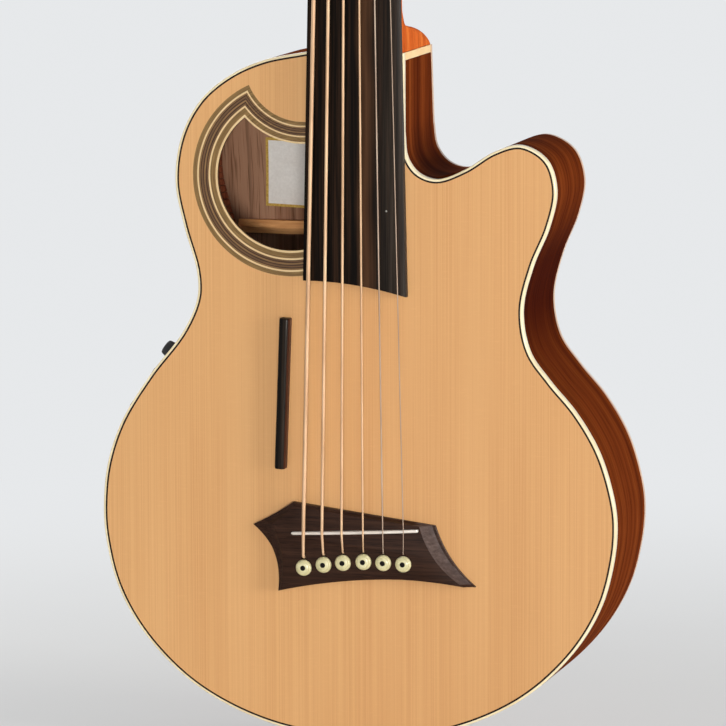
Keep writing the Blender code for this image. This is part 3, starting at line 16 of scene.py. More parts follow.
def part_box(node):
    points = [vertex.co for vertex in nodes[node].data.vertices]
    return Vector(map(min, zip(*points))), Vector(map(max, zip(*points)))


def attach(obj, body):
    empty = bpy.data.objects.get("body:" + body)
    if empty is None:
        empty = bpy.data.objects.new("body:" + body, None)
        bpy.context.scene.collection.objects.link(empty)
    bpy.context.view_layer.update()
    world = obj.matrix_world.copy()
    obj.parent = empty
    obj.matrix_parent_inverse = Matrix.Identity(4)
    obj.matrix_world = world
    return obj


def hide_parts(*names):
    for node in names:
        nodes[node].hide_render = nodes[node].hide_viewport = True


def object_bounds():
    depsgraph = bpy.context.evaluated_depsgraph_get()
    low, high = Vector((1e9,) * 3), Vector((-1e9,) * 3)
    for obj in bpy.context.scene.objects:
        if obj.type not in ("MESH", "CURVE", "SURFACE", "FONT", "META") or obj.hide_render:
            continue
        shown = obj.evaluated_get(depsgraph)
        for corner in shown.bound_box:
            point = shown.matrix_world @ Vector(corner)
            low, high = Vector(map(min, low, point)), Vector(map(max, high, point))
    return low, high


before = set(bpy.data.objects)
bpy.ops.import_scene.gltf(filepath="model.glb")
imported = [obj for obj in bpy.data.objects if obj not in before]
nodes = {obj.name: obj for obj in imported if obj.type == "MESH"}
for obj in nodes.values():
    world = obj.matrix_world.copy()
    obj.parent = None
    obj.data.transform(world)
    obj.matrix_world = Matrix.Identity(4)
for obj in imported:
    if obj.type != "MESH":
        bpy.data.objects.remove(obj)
cad_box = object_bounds()

# %% [markdown]
# ## Where the saddle is
# The face of the soundboard gives the saddle's depth, and the top of the binding, at the neck
# joint, gives its height. One function then turns any of the maker's numbers into a place.

# %% Place things from the saddle
MM = 0.001
JOINT_Z = 864.0 * 2 ** (-14 / 12)
SADDLE = Vector((0.0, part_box("soundboard")[0].y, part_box("top_binding")[1].z - JOINT_Z * MM))
SADDLE_FRAME = Matrix.Translation(SADDLE) @ Matrix.Scale(MM, 4)


def spot(x, y, z):
    """A place in metres from the maker's millimetres: across, into the body, up the strings."""
    return SADDLE_FRAME @ Vector((x, y, z))


def stand_at(place, angle=0.0, axis="X", frame_matrix=SADDLE_FRAME):
    """A frame moved to a place in another frame and turned there."""
    return frame_matrix @ Matrix.Translation(place) @ Matrix.Rotation(angle, 4, axis)


print("saddle at", [round(value, 4) for value in SADDLE])

# %% [markdown]
# ## Camera
# A long lens flattens the picture, so the body's outline looks nearly as it is drawn. The
# camera's three directions could be typed as angles, but as a matrix they can be measured.

# %% Camera
CAMERA_PLACE = spot(1199.0, -4550.0, 763.0)
CAMERA_TURN = Matrix(
    ((0.96736, -0.03082, 0.25154), (0.25340, 0.12847, -0.95880), (-0.00277, 0.99124, 0.13208)))
bpy.ops.object.camera_add(location=CAMERA_PLACE, rotation=CAMERA_TURN.to_euler())
camera = bpy.context.object
camera.name = "studio_camera"
camera.data.lens = 294.4
camera.data.sensor_width = 36.0
camera.data.clip_end = 100.0
camera.data.dof.use_dof = False
bpy.context.scene.camera = camera
bpy.context.scene.view_settings.view_transform = "Standard"
print("camera at", [round(value, 3) for value in CAMERA_PLACE])

# %% [markdown]
# ## Softboxes
# Lacquer shows its lamps, so the lamps are wide and soft. The key stands far off and level with
# the body, on the camera's side, because its light has to fall through the sound hole on to the
# label. Weaker lamps lift the front, the treble side, the bass side and the back.

# %% Softboxes
BODY_MIDDLE = spot(0.0, 50.0, 110.0)


def softbox(name, place, width, height, power, tint=(1.0, 1.0, 1.0)):
    """A rectangular lamp that looks at the body's middle."""
    place = Vector(place)
    turn = (BODY_MIDDLE - place).to_track_quat("-Z", "Y").to_euler()
    bpy.ops.object.light_add(type="AREA", location=place, rotation=turn)
    lamp = bpy.context.object
    lamp.name = name
    lamp.data.shape = "RECTANGLE"
    lamp.data.size, lamp.data.size_y = width, height
    lamp.data.energy = power
    lamp.data.color = tint


softbox("key_softbox", (1.5, -5.85, -0.86), 1.0, 0.6, 222.0, (1.0, 0.985, 0.96))
softbox("front_softbox", (0.9, -2.9, -0.3), 1.8, 1.8, 9.0)
softbox("treble_softbox", (3.0, -0.9, -0.55), 0.9, 1.4, 72.0, (1.0, 0.97, 0.93))
softbox("bass_softbox", (-2.4, 0.9, 0.3), 1.0, 1.8, 26.0)
softbox("back_softbox", (-1.5, 2.6, 1.1), 1.8, 1.8, 52.0)
print("5 softboxes")

# %% [markdown]
# ## Finishes are node trees
# A finish is a small network of nodes. These helpers add a node, spread a noise along the
# grain, map a value to colours and raise a bump, so each finish below reads as a short recipe.

# %% Node helpers
def colour(red, green, blue):
    """A screen colour, 0 to 255, as the linear colour that Blender mixes."""
    parts = [value / 255 for value in (red, green, blue)]
    return (*[v / 12.92 if v < 0.04045 else ((v + 0.055) / 1.055) ** 2.4 for v in parts], 1.0)


def add(tree, kind, inputs=None, **settings):
    """A node with its settings, each input either linked or given a value."""
    node = tree.nodes.new(kind)
    for name, value in settings.items():
        setattr(node, name, value)
    for key, value in (inputs or {}).items():
        if isinstance(value, bpy.types.NodeSocket):
            tree.links.new(value, node.inputs[key])
        else:
            node.inputs[key].default_value = value
    return node


def new_finish(name, roughness=0.5, metallic=0.0, coat=0.0, coat_roughness=0.05, specular=0.5):
    """A material with its plain numbers set on the shader itself."""
    material = bpy.data.materials.new(name)
    material.use_nodes = True
    shader = material.node_tree.nodes["Principled BSDF"]
    shader.inputs["Roughness"].default_value = roughness
    shader.inputs["Metallic"].default_value = metallic
    shader.inputs["Coat Weight"].default_value = coat
    shader.inputs["Coat Roughness"].default_value = coat_roughness
    shader.inputs["Specular IOR Level"].default_value = specular
    return material, material.node_tree, shader


def object_place(tree):
    return add(tree, "ShaderNodeTexCoord").outputs["Object"]


def along_edge(tree):
    """The place along a bent piece and across it, in metres, kept in its UV map."""
    return add(tree, "ShaderNodeUVMap", uv_map="edge").outputs["UV"]


def axes(tree, place=None):
    """The X, Y and Z sockets of a place, by default of the place on the object."""
    return add(tree, "ShaderNodeSeparateXYZ", {0: place or object_place(tree)}).outputs


def joined(tree, x, y, z):
    return add(tree, "ShaderNodeCombineXYZ", {0: x, 1: y, 2: z}).outputs[0]


def noise(tree, scale, detail=3.0, roughness=0.55, place=None, distortion=0.0):
    """Noise with one scale, or one for each direction: small numbers make long grain."""
    scale = scale if isinstance(scale, tuple) else (scale,) * 3
    stretched = add(tree, "ShaderNodeVectorMath", {0: place or object_place(tree), 1: scale},
                    operation="MULTIPLY").outputs[0]
    inputs = {"Vector": stretched, "Scale": 1.0, "Detail": detail, "Roughness": roughness,
              "Distortion": distortion}
    return add(tree, "ShaderNodeTexNoise", inputs).outputs[0]


def ramp(tree, value, *stops):
    """Screen colours at places between 0 and 1: each stop is (place, red, green, blue)."""
    node = add(tree, "ShaderNodeValToRGB", {0: value})
    elements = node.color_ramp.elements
    while len(elements) < len(stops):
        elements.new(0.5)
    for element, (place, *tone) in zip(elements, stops):
        element.position = place
        element.color = colour(*tone)
    return node.outputs[0]


def mix(tree, factor, first, second, kind="MIX"):
    node = add(
        tree, "ShaderNodeMix", {0: factor, 6: first, 7: second}, data_type="RGBA", blend_type=kind)
    return node.outputs[2]


def maths(tree, operation, first, second=0.0, clamp=False):
    return add(tree, "ShaderNodeMath", {0: first, 1: second}, operation=operation,
               use_clamp=clamp).outputs[0]


def rise(tree, value, start, slope):
    """0 below a start, and above it a slope up to 1."""
    return maths(tree, "MULTIPLY", maths(tree, "SUBTRACT", value, start), slope, True)


def darken(tree, tone, value, low, high, shadow, amount):
    """A tone multiplied by a darker one wherever a value is low."""
    shadows = ramp(tree, value, (low, *shadow), (high, 255, 255, 255))
    return mix(tree, amount, tone, shadows, "MULTIPLY")


def bump(tree, shader, height, strength, distance=0.0001):
    node = add(
        tree, "ShaderNodeBump", {"Height": height, "Strength": strength, "Distance": distance})
    tree.links.new(node.outputs[0], shader.inputs["Normal"])


def paint(tree, shader, tone):
    tree.links.new(tone, shader.inputs["Base Color"])


def vary_roughness(tree, shader, value, low, high):
    node = add(tree, "ShaderNodeMapRange", {"Value": value, "To Min": low, "To Max": high})
    tree.links.new(node.outputs[0], shader.inputs["Roughness"])


def mottled(name, scale, *stops, detail=3.0, gain=0.55, bumps=0.0, bump_scale=None, **shine):
    """A finish whose tone wanders between colours, with bumps of the same noise or a finer one."""
    material, tree, shader = new_finish(name, **shine)
    wander = noise(tree, scale, detail, gain)
    paint(tree, shader, ramp(tree, wander, *stops))
    if bumps:
        bump(tree, shader, noise(tree, bump_scale) if bump_scale else wander, bumps)
    return material


print("node helpers ready")

# %% [markdown]
# ## Floor and background
# A pale paper sweep could be bent behind the instrument, but a wide level floor and a pale
# world give the same plain ground from every side. The world looks white to the camera and in
# reflections, and lights the object only softly. The floor fades to the same white away from
# the object, and keeps the object's shadow close to it.

# %% Floor and background
FLOOR_Z = cad_box[0][2] - 0.002
bpy.ops.mesh.primitive_plane_add(size=80.0, location=(0.0, 0.0, FLOOR_Z))
floor = bpy.context.object
floor.name = "studio_floor"
floor_paint, tree, shader = new_finish("floor_paint", roughness=0.9, specular=0.2)
paint(tree, shader, ramp(tree, noise(tree, 2.0), (0.3, 226, 226, 224), (0.7, 232, 232, 230)))
PALE = colour(236, 238, 240)


def seen_directly(tree):
    """1 for rays from the camera, in reflections and through glass, and 0 for light."""
    rays = add(tree, "ShaderNodeLightPath")
    seen = maths(
        tree, "ADD", rays.outputs["Is Camera Ray"], rays.outputs["Is Glossy Ray"], clamp=True)
    return maths(tree, "ADD", seen, rays.outputs["Is Transmission Ray"], clamp=True)


reach = add(
    tree, "ShaderNodeVectorMath", {0: object_place(tree)}, operation="LENGTH").outputs["Value"]
clearing = {"From Min": 0.25, "From Max": 1.5, "To Min": 0.35, "To Max": 1.0}
away = add(tree, "ShaderNodeMapRange", {"Value": reach, **clearing},
           interpolation_type="SMOOTHSTEP").outputs[0]
glow = add(tree, "ShaderNodeEmission", {"Color": PALE, "Strength": 0.95}).outputs[0]
glowing = maths(tree, "MULTIPLY", away, seen_directly(tree))
fade = add(tree, "ShaderNodeMixShader", {0: glowing, 1: shader.outputs[0], 2: glow}).outputs[0]
tree.links.new(fade, tree.nodes["Material Output"].inputs["Surface"])
floor.data.materials.append(floor_paint)

world = bpy.data.worlds.new("studio_world")
bpy.context.scene.world = world
world.use_nodes = True
tree = world.node_tree
ground = tree.nodes["Background"]
ground.inputs["Color"].default_value = PALE
brightness = add(
    tree, "ShaderNodeMapRange", {"Value": seen_directly(tree), "To Min": 0.18, "To Max": 0.95})
tree.links.new(brightness.outputs[0], ground.inputs["Strength"])
print("floor at", round(FLOOR_Z, 4))

# %% [markdown]
# ## Hands
# These are the moves of the modelling hand: select, apply a place, use a modifier and make it
# permanent, cut one piece with another, and shade the curved faces smooth. `dress` puts a
# finished piece on its body and hides the plain solid that it stands for.

# %% Modelling helpers
def select(*pieces):
    bpy.ops.object.select_all(action="DESELECT")
    for piece in pieces:
        piece.select_set(True)
    bpy.context.view_layer.objects.active = pieces[0]


def link(piece):
    bpy.context.scene.collection.objects.link(piece)
    return piece


def settle(piece):
    """Apply a piece's place, turn and scale, so that its object is at the origin."""
    select(piece)
    bpy.ops.object.transform_apply(location=True, rotation=True, scale=True)
    return piece


def use_modifier(piece, kind, **settings):
    select(piece)
    modifier = piece.modifiers.new(kind.lower(), kind)
    for name, value in settings.items():
        setattr(modifier, name, value)
    bpy.ops.object.modifier_apply(modifier=modifier.name)
    return piece


def cut(piece, *cutters, operation="DIFFERENCE"):
    for cutter in cutters:
        use_modifier(piece, "BOOLEAN", object=cutter, operation=operation, solver="EXACT")
        bpy.data.objects.remove(cutter)
    return piece


def round_edges(piece, width, segments=2, angle=30.0):
    use_modifier(piece, "BEVEL", width=width * MM, segments=segments, limit_method="ANGLE",
                 angle_limit=math.radians(angle), harden_normals=False)
    return piece


def shade(piece, degrees=30.0):
    select(piece)
    bpy.ops.object.shade_smooth_by_angle(angle=math.radians(degrees))
    return piece


def face_outwards(piece):
    select(piece)
    bpy.ops.object.mode_set(mode="EDIT")
    bpy.ops.mesh.select_all(action="SELECT")
    bpy.ops.mesh.remove_doubles(threshold=0.000002)
    bpy.ops.mesh.normals_make_consistent(inside=False)
    bpy.ops.object.mode_set(mode="OBJECT")
    return piece


def dress(piece, body, slot, finish, *replaced):
    """Give a piece its finish and its body, and hide the solids that it stands for."""
    piece.data.materials.clear()
    piece.data.materials.append(finish)
    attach(piece, body)
    if replaced:
        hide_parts(*replaced)
    print(f"{piece.name}: {len(piece.data.polygons)} faces")
    return piece


def finish_faces(piece, finish, wanted):
    """Another finish for the faces of a dressed piece that pass a test."""
    piece.data.materials.append(finish)
    faces = [face for face in piece.data.polygons if wanted(face)]
    for face in faces:
        face.material_index = len(piece.data.materials) - 1
    print(f"{piece.name}: {len(faces)} faces in {finish.name}")


def finish_nodes(finish, *names):
    """A better finish for solids that keep their own shapes."""
    for name in names:
        nodes[name].data.materials.clear()
        nodes[name].data.materials.append(finish)


def from_mesh(name, bm, frame_matrix=SADDLE_FRAME):
    """An object from a hand-built mesh in millimetres."""
    bmesh.ops.recalc_face_normals(bm, faces=bm.faces)
    mesh = bpy.data.meshes.new(name)
    bm.to_mesh(mesh)
    bm.free()
    mesh.transform(frame_matrix)
    return link(bpy.data.objects.new(name, mesh))


print("modelling helpers ready")

# %% [markdown]
# ## The body's outline
# A maker bends the sides round a mould. Here the mould is a smooth curve through measured
# points, from the neck's bass corner round the tail to its treble corner. A Bezier curve could
# be drawn by hand, but a Catmull-Rom curve passes through every point that was measured.

# %% Outline of the body
BASS_SHOULDER = (
    (-39.0, 384.9), (-77.0, 377.0), (-105.2, 364.1), (-129.0, 344.0), (-144.7, 315.2),
    (-150.1, 279.0), (-143.2, 243.0), (-132.6, 206.0), (-132.4, 185.0), (-144.2, 157.7),
    (-173.2, 120.2), (-197.0, 82.0), (-209.2, 46.0))
LOWER_BOUT_HALF = (
    (212.6, 10.0), (210.4, -16.2), (200.8, -52.8), (180.0, -89.2), (145.0, -124.8), (106.6, -147.8),
    (60.0, -163.4))
TAIL_END = (0.0, -169.6)
TREBLE_SIDE = (
    (210.4, 31.0), (198.8, 69.0), (180.0, 100.6), (158.0, 126.2), (141.6, 149.5), (136.0, 181.9),
    (144.2, 217.1), (157.5, 249.0), (163.2, 278.0), (155.6, 302.0), (134.6, 313.6), (113.0, 308.0),
    (88.9, 293.2), (66.0, 285.0), (51.0, 289.6), (41.8, 302.0), (39.3, 322.0))
TREBLE_CORNER = (39.3, 384.9)


def smooth_curve(points, steps=10):
    """Points along a centripetal Catmull-Rom curve through the given ones."""
    points = [Vector(point) for point in points]
    ends = [points[0] * 2 - points[1]] + points + [points[-1] * 2 - points[-2]]
    path = []
    for p0, p1, p2, p3 in zip(ends, ends[1:], ends[2:], ends[3:]):
        t1 = (p1 - p0).length ** 0.5
        t2 = t1 + (p2 - p1).length ** 0.5
        t3 = t2 + (p3 - p2).length ** 0.5
        for step in range(steps):
            t = t1 + (t2 - t1) * step / steps
            a1 = p0 * ((t1 - t) / t1) + p1 * (t / t1)
            a2 = p1 * ((t2 - t) / (t2 - t1)) + p2 * ((t - t1) / (t2 - t1))
            a3 = p2 * ((t3 - t) / (t3 - t2)) + p3 * ((t - t2) / (t3 - t2))
            b1 = a1 * ((t2 - t) / t2) + a2 * (t / t2)
            b2 = a2 * ((t3 - t) / (t3 - t1)) + a3 * ((t - t1) / (t3 - t1))
            path.append(b1 * ((t2 - t) / (t2 - t1)) + b2 * ((t - t1) / (t2 - t1)))
    path.append(points[-1])
    return path


OUTLINE = smooth_curve(
    (*BASS_SHOULDER, *[(-x, z) for x, z in LOWER_BOUT_HALF], TAIL_END, *reversed(LOWER_BOUT_HALF),
    *TREBLE_SIDE)) + [Vector(TREBLE_CORNER)]


def inward_normals(loop):
    """The direction into the body at each point of a loop that runs anticlockwise."""
    normals = []
    count = len(loop)
    for i in range(count):
        before = (loop[i] - loop[i - 1]).normalized()
        after = (loop[(i + 1) % count] - loop[i]).normalized()
        n1, n2 = Vector((-before.y, before.x)), Vector((-after.y, after.x))
        normals.append((n1 + n2) / (1.0 + n1.dot(n2)))
    return normals


def inside(distance):
    """The outline moved into the body by a distance."""
    return [point + normal * distance for point, normal in zip(OUTLINE, inward_normals(OUTLINE))]


print(len(OUTLINE), "points round the body")

# %% [markdown]
# The body is thinnest at the neck, and its back is a little domed. This gives its depth at any
# place, and `bend_round` runs a section round the outline as the bent sides and the bindings
# run. It also writes a UV map in metres, so that wood grain can follow the bend.

# %% Depth of the body and bent strips
DEPTHS = smooth_curve(
    ((-170.0, 111.0), (0.0, 116.0), (180.0, 117.5), (265.0, 111.5), (320.0, 102.5), (386.0, 94.0)))
BACK_ARCH_RADIUS = 9000.0


def body_depth(x, z):
    """Depth from the face to the back's outer surface."""
    depth = DEPTHS[0].y if z < DEPTHS[0].x else DEPTHS[-1].y
    for a, b in zip(DEPTHS, DEPTHS[1:]):
        if a.x <= z <= b.x:
            depth = a.y + (b.y - a.y) * (z - a.x) / (b.x - a.x)
    return depth - x * x / (2 * BACK_ARCH_RADIUS)


def bend_round(name, loop, section):
    """Skin a strip round a loop. The section, or a function of the step that gives one, holds
    points of (inward, plate, distance from it)."""
    normals = inward_normals(loop)
    travel, rows, lengths = 0.0, [], []
    bm = bmesh.new()
    edge_map = bm.loops.layers.uv.new("edge")
    for i, (point, normal) in enumerate(zip(loop, normals)):
        travel += (point - loop[i - 1]).length if i else 0.0
        row = []
        for inward, plate, distance in section(i) if callable(section) else section:
            place = point + normal * inward
            y = distance if plate == "face" else body_depth(place.x, place.y) - distance
            row.append(bm.verts.new((place.x, y, place.y)))
        rows.append(row)
        lengths.append(travel)
    lengths.append(travel + (loop[0] - loop[-1]).length)
    count = len(rows[0])
    for i in range(len(rows)):
        first, second = rows[i], rows[(i + 1) % len(rows)]
        for j in range(count):
            k = (j + 1) % count
            face = bm.faces.new((first[j], first[k], second[k], second[j]))
            for corner, far in zip(face.loops, (0, 0, 1, 1)):
                corner[edge_map].uv = (lengths[i + far] * MM, corner.vert.co.y * MM)
    return from_mesh(name, bm)


print("depth at the tail and at the neck:", round(body_depth(0, -169)), round(body_depth(0, 384)))

# %% [markdown]
# ## Flat pieces
# Veneers and plates are sawn from flat stock. A flat curve is drawn, given its thickness and
# converted to a mesh, as one would with a bandsaw line. The curve's own fill copes with holes.

# %% Sawn pieces
def draw(name, lines, closed, **settings):
    """A curve through lines of (place, radius), made into a mesh."""
    drawing = bpy.data.curves.new(name, "CURVE")
    for setting, value in settings.items():
        setattr(drawing, setting, value)
    for places in lines:
        line = drawing.splines.new("POLY")
        line.points.add(len(places) - 1)
        for point, (place, radius) in zip(line.points, places):
            point.co, point.radius = (*place, 1.0), radius
        line.use_cyclic_u = closed
    select(link(bpy.data.objects.new(name, drawing)))
    bpy.ops.object.convert(target="MESH")
    return bpy.context.object


def saw(name, loops, front, back):
    """A flat outline with its holes, cut out of stock that reaches from one depth to another."""
    lines = [[((x, z, 0.0), 1.0) for x, z in loop] for loop in loops]
    piece = draw(name, lines, True, dimensions="2D", fill_mode="BOTH", extrude=(back - front) / 2)
    piece.data.transform(stand_at((0.0, (front + back) / 2, 0.0), math.pi / 2))
    return face_outwards(piece)


def arc(centre, radius, start, end, steps):
    """Points on a circle between two angles in radians."""
    return [Vector((centre[0] + radius * math.cos(start + (end - start) * i / steps),
                    centre[1] + radius * math.sin(start + (end - start) * i / steps)))
            for i in range(steps + 1)]


print("ready to saw")

# %% [markdown]
# ## The sound hole
# The hole is not round: it is the left part of one circle with a bite out of it that is part of
# a second circle, and its right end hides under the fingerboard. The same function gives the
# hole, and each band of inlay round it, by moving both circles.

# %% Shape of the sound hole
HOLE_CENTRE, HOLE_RADIUS = (-55.2, 284.4), 59.5
SCOOP_CENTRE, SCOOP_RADIUS = (-44.6, 376.0), 65.0
HOLE_RIGHT_X = -34.0
ROSETTE_WIDTH, ROSETTE_SCOOP_WIDTH = 20.5, 17.5


def crescent(share):
    """The hole's shape, grown by a share of the inlay's width on both of its circles."""
    hole_radius = HOLE_RADIUS + ROSETTE_WIDTH * share
    scoop_radius = SCOOP_RADIUS - ROSETTE_SCOOP_WIDTH * share
    (hx, hz), (sx, sz) = HOLE_CENTRE, SCOOP_CENTRE
    apart = math.hypot(sx - hx, sz - hz)
    along = (apart ** 2 + hole_radius ** 2 - scoop_radius ** 2) / (2 * apart)
    tip_angle = math.atan2(sz - hz, sx - hx) + math.acos(along / hole_radius)
    tip = Vector((hx + hole_radius * math.cos(tip_angle), hz + hole_radius * math.sin(tip_angle)))
    low_angle = 2 * math.pi - math.acos((HOLE_RIGHT_X - hx) / hole_radius)
    hole_side = arc(HOLE_CENTRE, hole_radius, low_angle, tip_angle, 64)
    scoop_start = math.atan2(tip.y - sz, tip.x - sx) + 2 * math.pi
    scoop_end = 2 * math.pi - math.acos((HOLE_RIGHT_X - sx) / scoop_radius)
    return hole_side + arc(SCOOP_CENTRE, scoop_radius, scoop_start, scoop_end, 22)[1:]


PIN_PLACES = (
    (-42.0, -30.0), (-25.5, -27.0), (-9.4, -24.8), (7.6, -23.4), (24.0, -23.6), (40.5, -24.0))
STRING_DIAMETERS = (3.3, 2.67, 2.16, 1.65, 1.14, 0.81)
PIN_HEAD_RADIUS, PIN_HOLE_RADIUS, SLOT_GAP = 6.6, 4.0, 0.35


def keyhole_end(i):
    """Where the slot of a pin's keyhole ends, clear of the pin's head."""
    return PIN_PLACES[i][1] + PIN_HEAD_RADIUS + STRING_DIAMETERS[i] + 0.8


def pin_hole(i):
    """A keyhole for a bridge pin, with the slot that its string dives through."""
    x, z = PIN_PLACES[i]
    half = STRING_DIAMETERS[i] / 2 + SLOT_GAP
    lean = math.asin(half / PIN_HOLE_RADIUS)
    round_part = arc((x, z), PIN_HOLE_RADIUS, math.pi / 2 + lean, math.pi * 5 / 2 - lean, 20)
    return round_part + [Vector((x + side * half, keyhole_end(i))) for side in (1, -1)]


print(len(crescent(0.0)), "points round the hole")

# %% [markdown]
# ## Spruce soundboard
# The top is two thin spruce boards, opened like a book and glued along the middle, so the grain
# is finest at the seam and mirrored across it. It could be one textured slab, but a sawn plate
# with its real hole lets the inside be seen. Its edge stops at the dark purfling line.

# %% Spruce finish
def spruce_tones(tree, light, middle, dark):
    """Upright grain that runs closer towards the seam, with slow bands and a silky fleck."""
    x, y, z = axes(tree)
    closer = maths(tree, "POWER", maths(tree, "ABSOLUTE", x), 0.86)
    booked = joined(tree, closer, y, z)
    lines = noise(tree, (900.0, 60.0, 2.6), 4.0, 0.6, booked, 0.2)
    bands = noise(tree, (26.0, 10.0, 3.0), 3.0, 0.5, booked)
    fleck = noise(tree, (60.0, 60.0, 900.0), 2.0, 0.6, booked)
    grain = maths(
        tree, "ADD", maths(tree, "MULTIPLY", lines, 0.7), maths(tree, "MULTIPLY", bands, 0.3))
    tone = ramp(tree, grain, (0.34, *dark), (0.5, *middle), (0.66, *light))
    silk = ramp(tree, fleck, (0.56, 0, 0, 0), (0.75, 89, 75, 56))
    tone = mix(tree, 0.25, tone, silk, "ADD")
    treble_half = maths(tree, "MULTIPLY", maths(tree, "GREATER_THAN", x, 0.0), 0.4)
    return mix(tree, treble_half, tone, (0.97, 0.93, 0.92, 1.0), "MULTIPLY"), grain


spruce, tree, shader = new_finish(
    "lacquered_spruce", 0.34, coat=0.25, coat_roughness=0.09, specular=0.2)
tone, grain = spruce_tones(tree, (223, 173, 117), (217, 165, 109), (207, 153, 98))
paint(tree, shader, tone)
bump(tree, shader, grain, 0.08, 0.0002)
raw_spruce, tree, shader = new_finish("raw_spruce", 0.75)
tone, grain = spruce_tones(tree, (226, 190, 140), (212, 172, 120), (190, 146, 96))
paint(tree, shader, tone)
bump(tree, shader, grain, 0.25, 0.0003)
# Painted shade: the walls of the sound hole get a dark brown, as they stand in shadow.
hole_edge_shade = mottled(
    "hole_edge_painted_shade", (700.0, 700.0, 60.0), (0.3, 70, 44, 26), (0.7, 104, 70, 42), roughness=0.6,
    specular=0.1)
print("spruce lacquered, raw and shaded")

# %% Soundboard
SOUNDBOARD_THICKNESS, ROSETTE_THICKNESS = 3.5, 2.0
BINDING_WIDTH = 1.8
LINE_START, LINE_END = 1.84, 3.25
HAIR = 0.02
HOLE_MIDDLE = spot(HOLE_CENTRE[0], 0.0, HOLE_CENTRE[1])
board = saw(
    "soundboard_plate", [inside(LINE_END + HAIR), crescent(0.0)] + [pin_hole(i) for i in range(6)],
    0.0, SOUNDBOARD_THICKNESS)
cut(board, saw("rosette_seat", [crescent(1.001)], -2.0, ROSETTE_THICKNESS + 0.03))
dress(board, "guitar", "spruce", spruce, "soundboard")


def faces_sideways(face):
    return abs(face.normal.y) < 0.5


def on_hole_edge(face):
    reach = (HOLE_RADIUS + ROSETTE_WIDTH + 5.0) * MM
    return faces_sideways(face) and (face.center - HOLE_MIDDLE).length < reach


finish_faces(board, raw_spruce, lambda face: face.normal.y > 0.5)
# The soundboard's wall round the hole gets that painted shade.
finish_faces(board, hole_edge_shade, on_hole_edge)

# %% [markdown]
# ## Purfling line
# A thin black line is let into the face just inside the binding. It could be painted, but a
# real strip is crisp at any distance. It is only a shaving thick and sits level with the face.

# %% Purfling line
line_paint = mottled(
    "black_purfling", 300.0, (0.3, 20, 12, 8), (0.7, 38, 24, 16), roughness=0.4, coat=0.1,
    specular=0.1)
LINE_DEPTH = 1.2
LINE_SECTION = (
    (LINE_START, "face", 0.0), (LINE_END, "face", 0.0), (LINE_END, "face", LINE_DEPTH),
    (LINE_START, "face", LINE_DEPTH))
purfling = bend_round("purfling_line", OUTLINE, LINE_SECTION)
dress(shade(purfling, 40.0), "guitar", "inlay_wood", line_paint)

# %% [markdown]
# ## Cream bindings
# Plastic strips close the corner between the plates and the sides. Their outer corner is
# scraped and buffed round. A bevel on the corner would do it, but here the round is part of
# the section that runs round the outline, so it stays even on every bend.

# %% Binding finish
cream, tree, shader = new_finish("cream_binding", 0.3, coat=0.3, coat_roughness=0.08, specular=0.3)
cloud = noise(tree, 35.0, 4.0)
tone = ramp(tree, cloud, (0.3, 232, 212, 170), (0.55, 244, 228, 188), (0.8, 250, 238, 204))
paint(tree, shader, tone)
vary_roughness(tree, shader, noise(tree, 400.0), 0.24, 0.38)
bump(tree, shader, noise(tree, 900.0), 0.05)
back_cream = mottled(
    "tan_back_binding", 35.0, (0.3, 206, 160, 122), (0.7, 226, 184, 144), detail=4.0, bumps=0.05,
    bump_scale=900.0, roughness=0.32, coat=0.2, coat_roughness=0.08, specular=0.2)
print("binding finishes ready")

# %% Bindings
TOP_BINDING_DEPTH, BACK_BINDING_DEPTH = 5.8, 5.5


def rounded_strip(plate, depth, width=BINDING_WIDTH, corner=0.9, steps=5):
    """Section of a binding whose outer corner is a quarter circle."""
    points = [(width, plate, 0.0)]
    for i in range(steps + 1):
        turn = math.pi / 2 * i / steps
        points.append((corner - corner * math.sin(turn), plate, corner - corner * math.cos(turn)))
    return points + [(0.0, plate, depth), (width, plate, depth)]


BINDINGS = (
    ("top_binding", "face", TOP_BINDING_DEPTH, cream),
    ("back_binding", "back", BACK_BINDING_DEPTH, back_cream))
for name, plate, depth, finish in BINDINGS:
    strip = bend_round(f"{name}_strip", OUTLINE, rounded_strip(plate, depth))
    dress(shade(strip, 50.0), "guitar", "cream_plastic", finish, name)

# %% [markdown]
# ## Rosewood
# Rosewood is red-brown with near-black ink lines, and open pores that stay as short dashes
# under the lacquer. One recipe serves the sides, whose grain follows the bend through the
# UV map, and the back, whose grain stands upright on both halves of a bookmatched plate.

# %% Rosewood finish
WAIST_HEIGHT = 198.0


def rosewood(name, place_of, along, tones, coat=0.015, roughness=0.4, specular=0.0, painted_waist_shade=0.0):
    """Ink lines, slow bands and pores along the grain, and painted shade that darkens the waist."""
    material, tree, shader = new_finish(
        name, roughness, coat=coat, coat_roughness=0.1, specular=specular)
    place = place_of(tree)
    streaks = noise(tree, along(34.0), 5.0, 0.62, place, 0.25)
    ink = noise(tree, along(110.0), 3.0, 0.6, place, 0.4)
    pores = noise(tree, along(900.0, 26.0), 2.0, 0.5, place)
    tone = ramp(
        tree, streaks, (0.32, *tones[0]), (0.46, *tones[1]), (0.56, *tones[2]), (0.7, *tones[3]))
    tone = darken(tree, tone, ink, 0.3, 0.47, (70, 50, 42), 0.5)
    tone = darken(tree, tone, pores, 0.33, 0.43, (120, 96, 84), 0.6)
    # Painted shade: the tone is darkened around the waist's height, where the side is turned from
    # the light.
    height = axes(tree)["Z"]
    from_waist = maths(
        tree, "ABSOLUTE", maths(tree, "SUBTRACT", height, SADDLE.z + WAIST_HEIGHT * MM))
    fade = {"From Min": 0.012, "From Max": 0.085, "To Min": painted_waist_shade, "To Max": 0.0}
    waist_shade_share = add(
        tree, "ShaderNodeMapRange", {"Value": from_waist, **fade},
        interpolation_type="SMOOTHSTEP").outputs[0]
    paint(tree, shader, mix(tree, waist_shade_share, tone, colour(158, 122, 70), "MULTIPLY"))
    bump(tree, shader, pores, 0.06, 0.0002)
    vary_roughness(tree, shader, streaks, roughness - 0.06, roughness + 0.1)
    return material


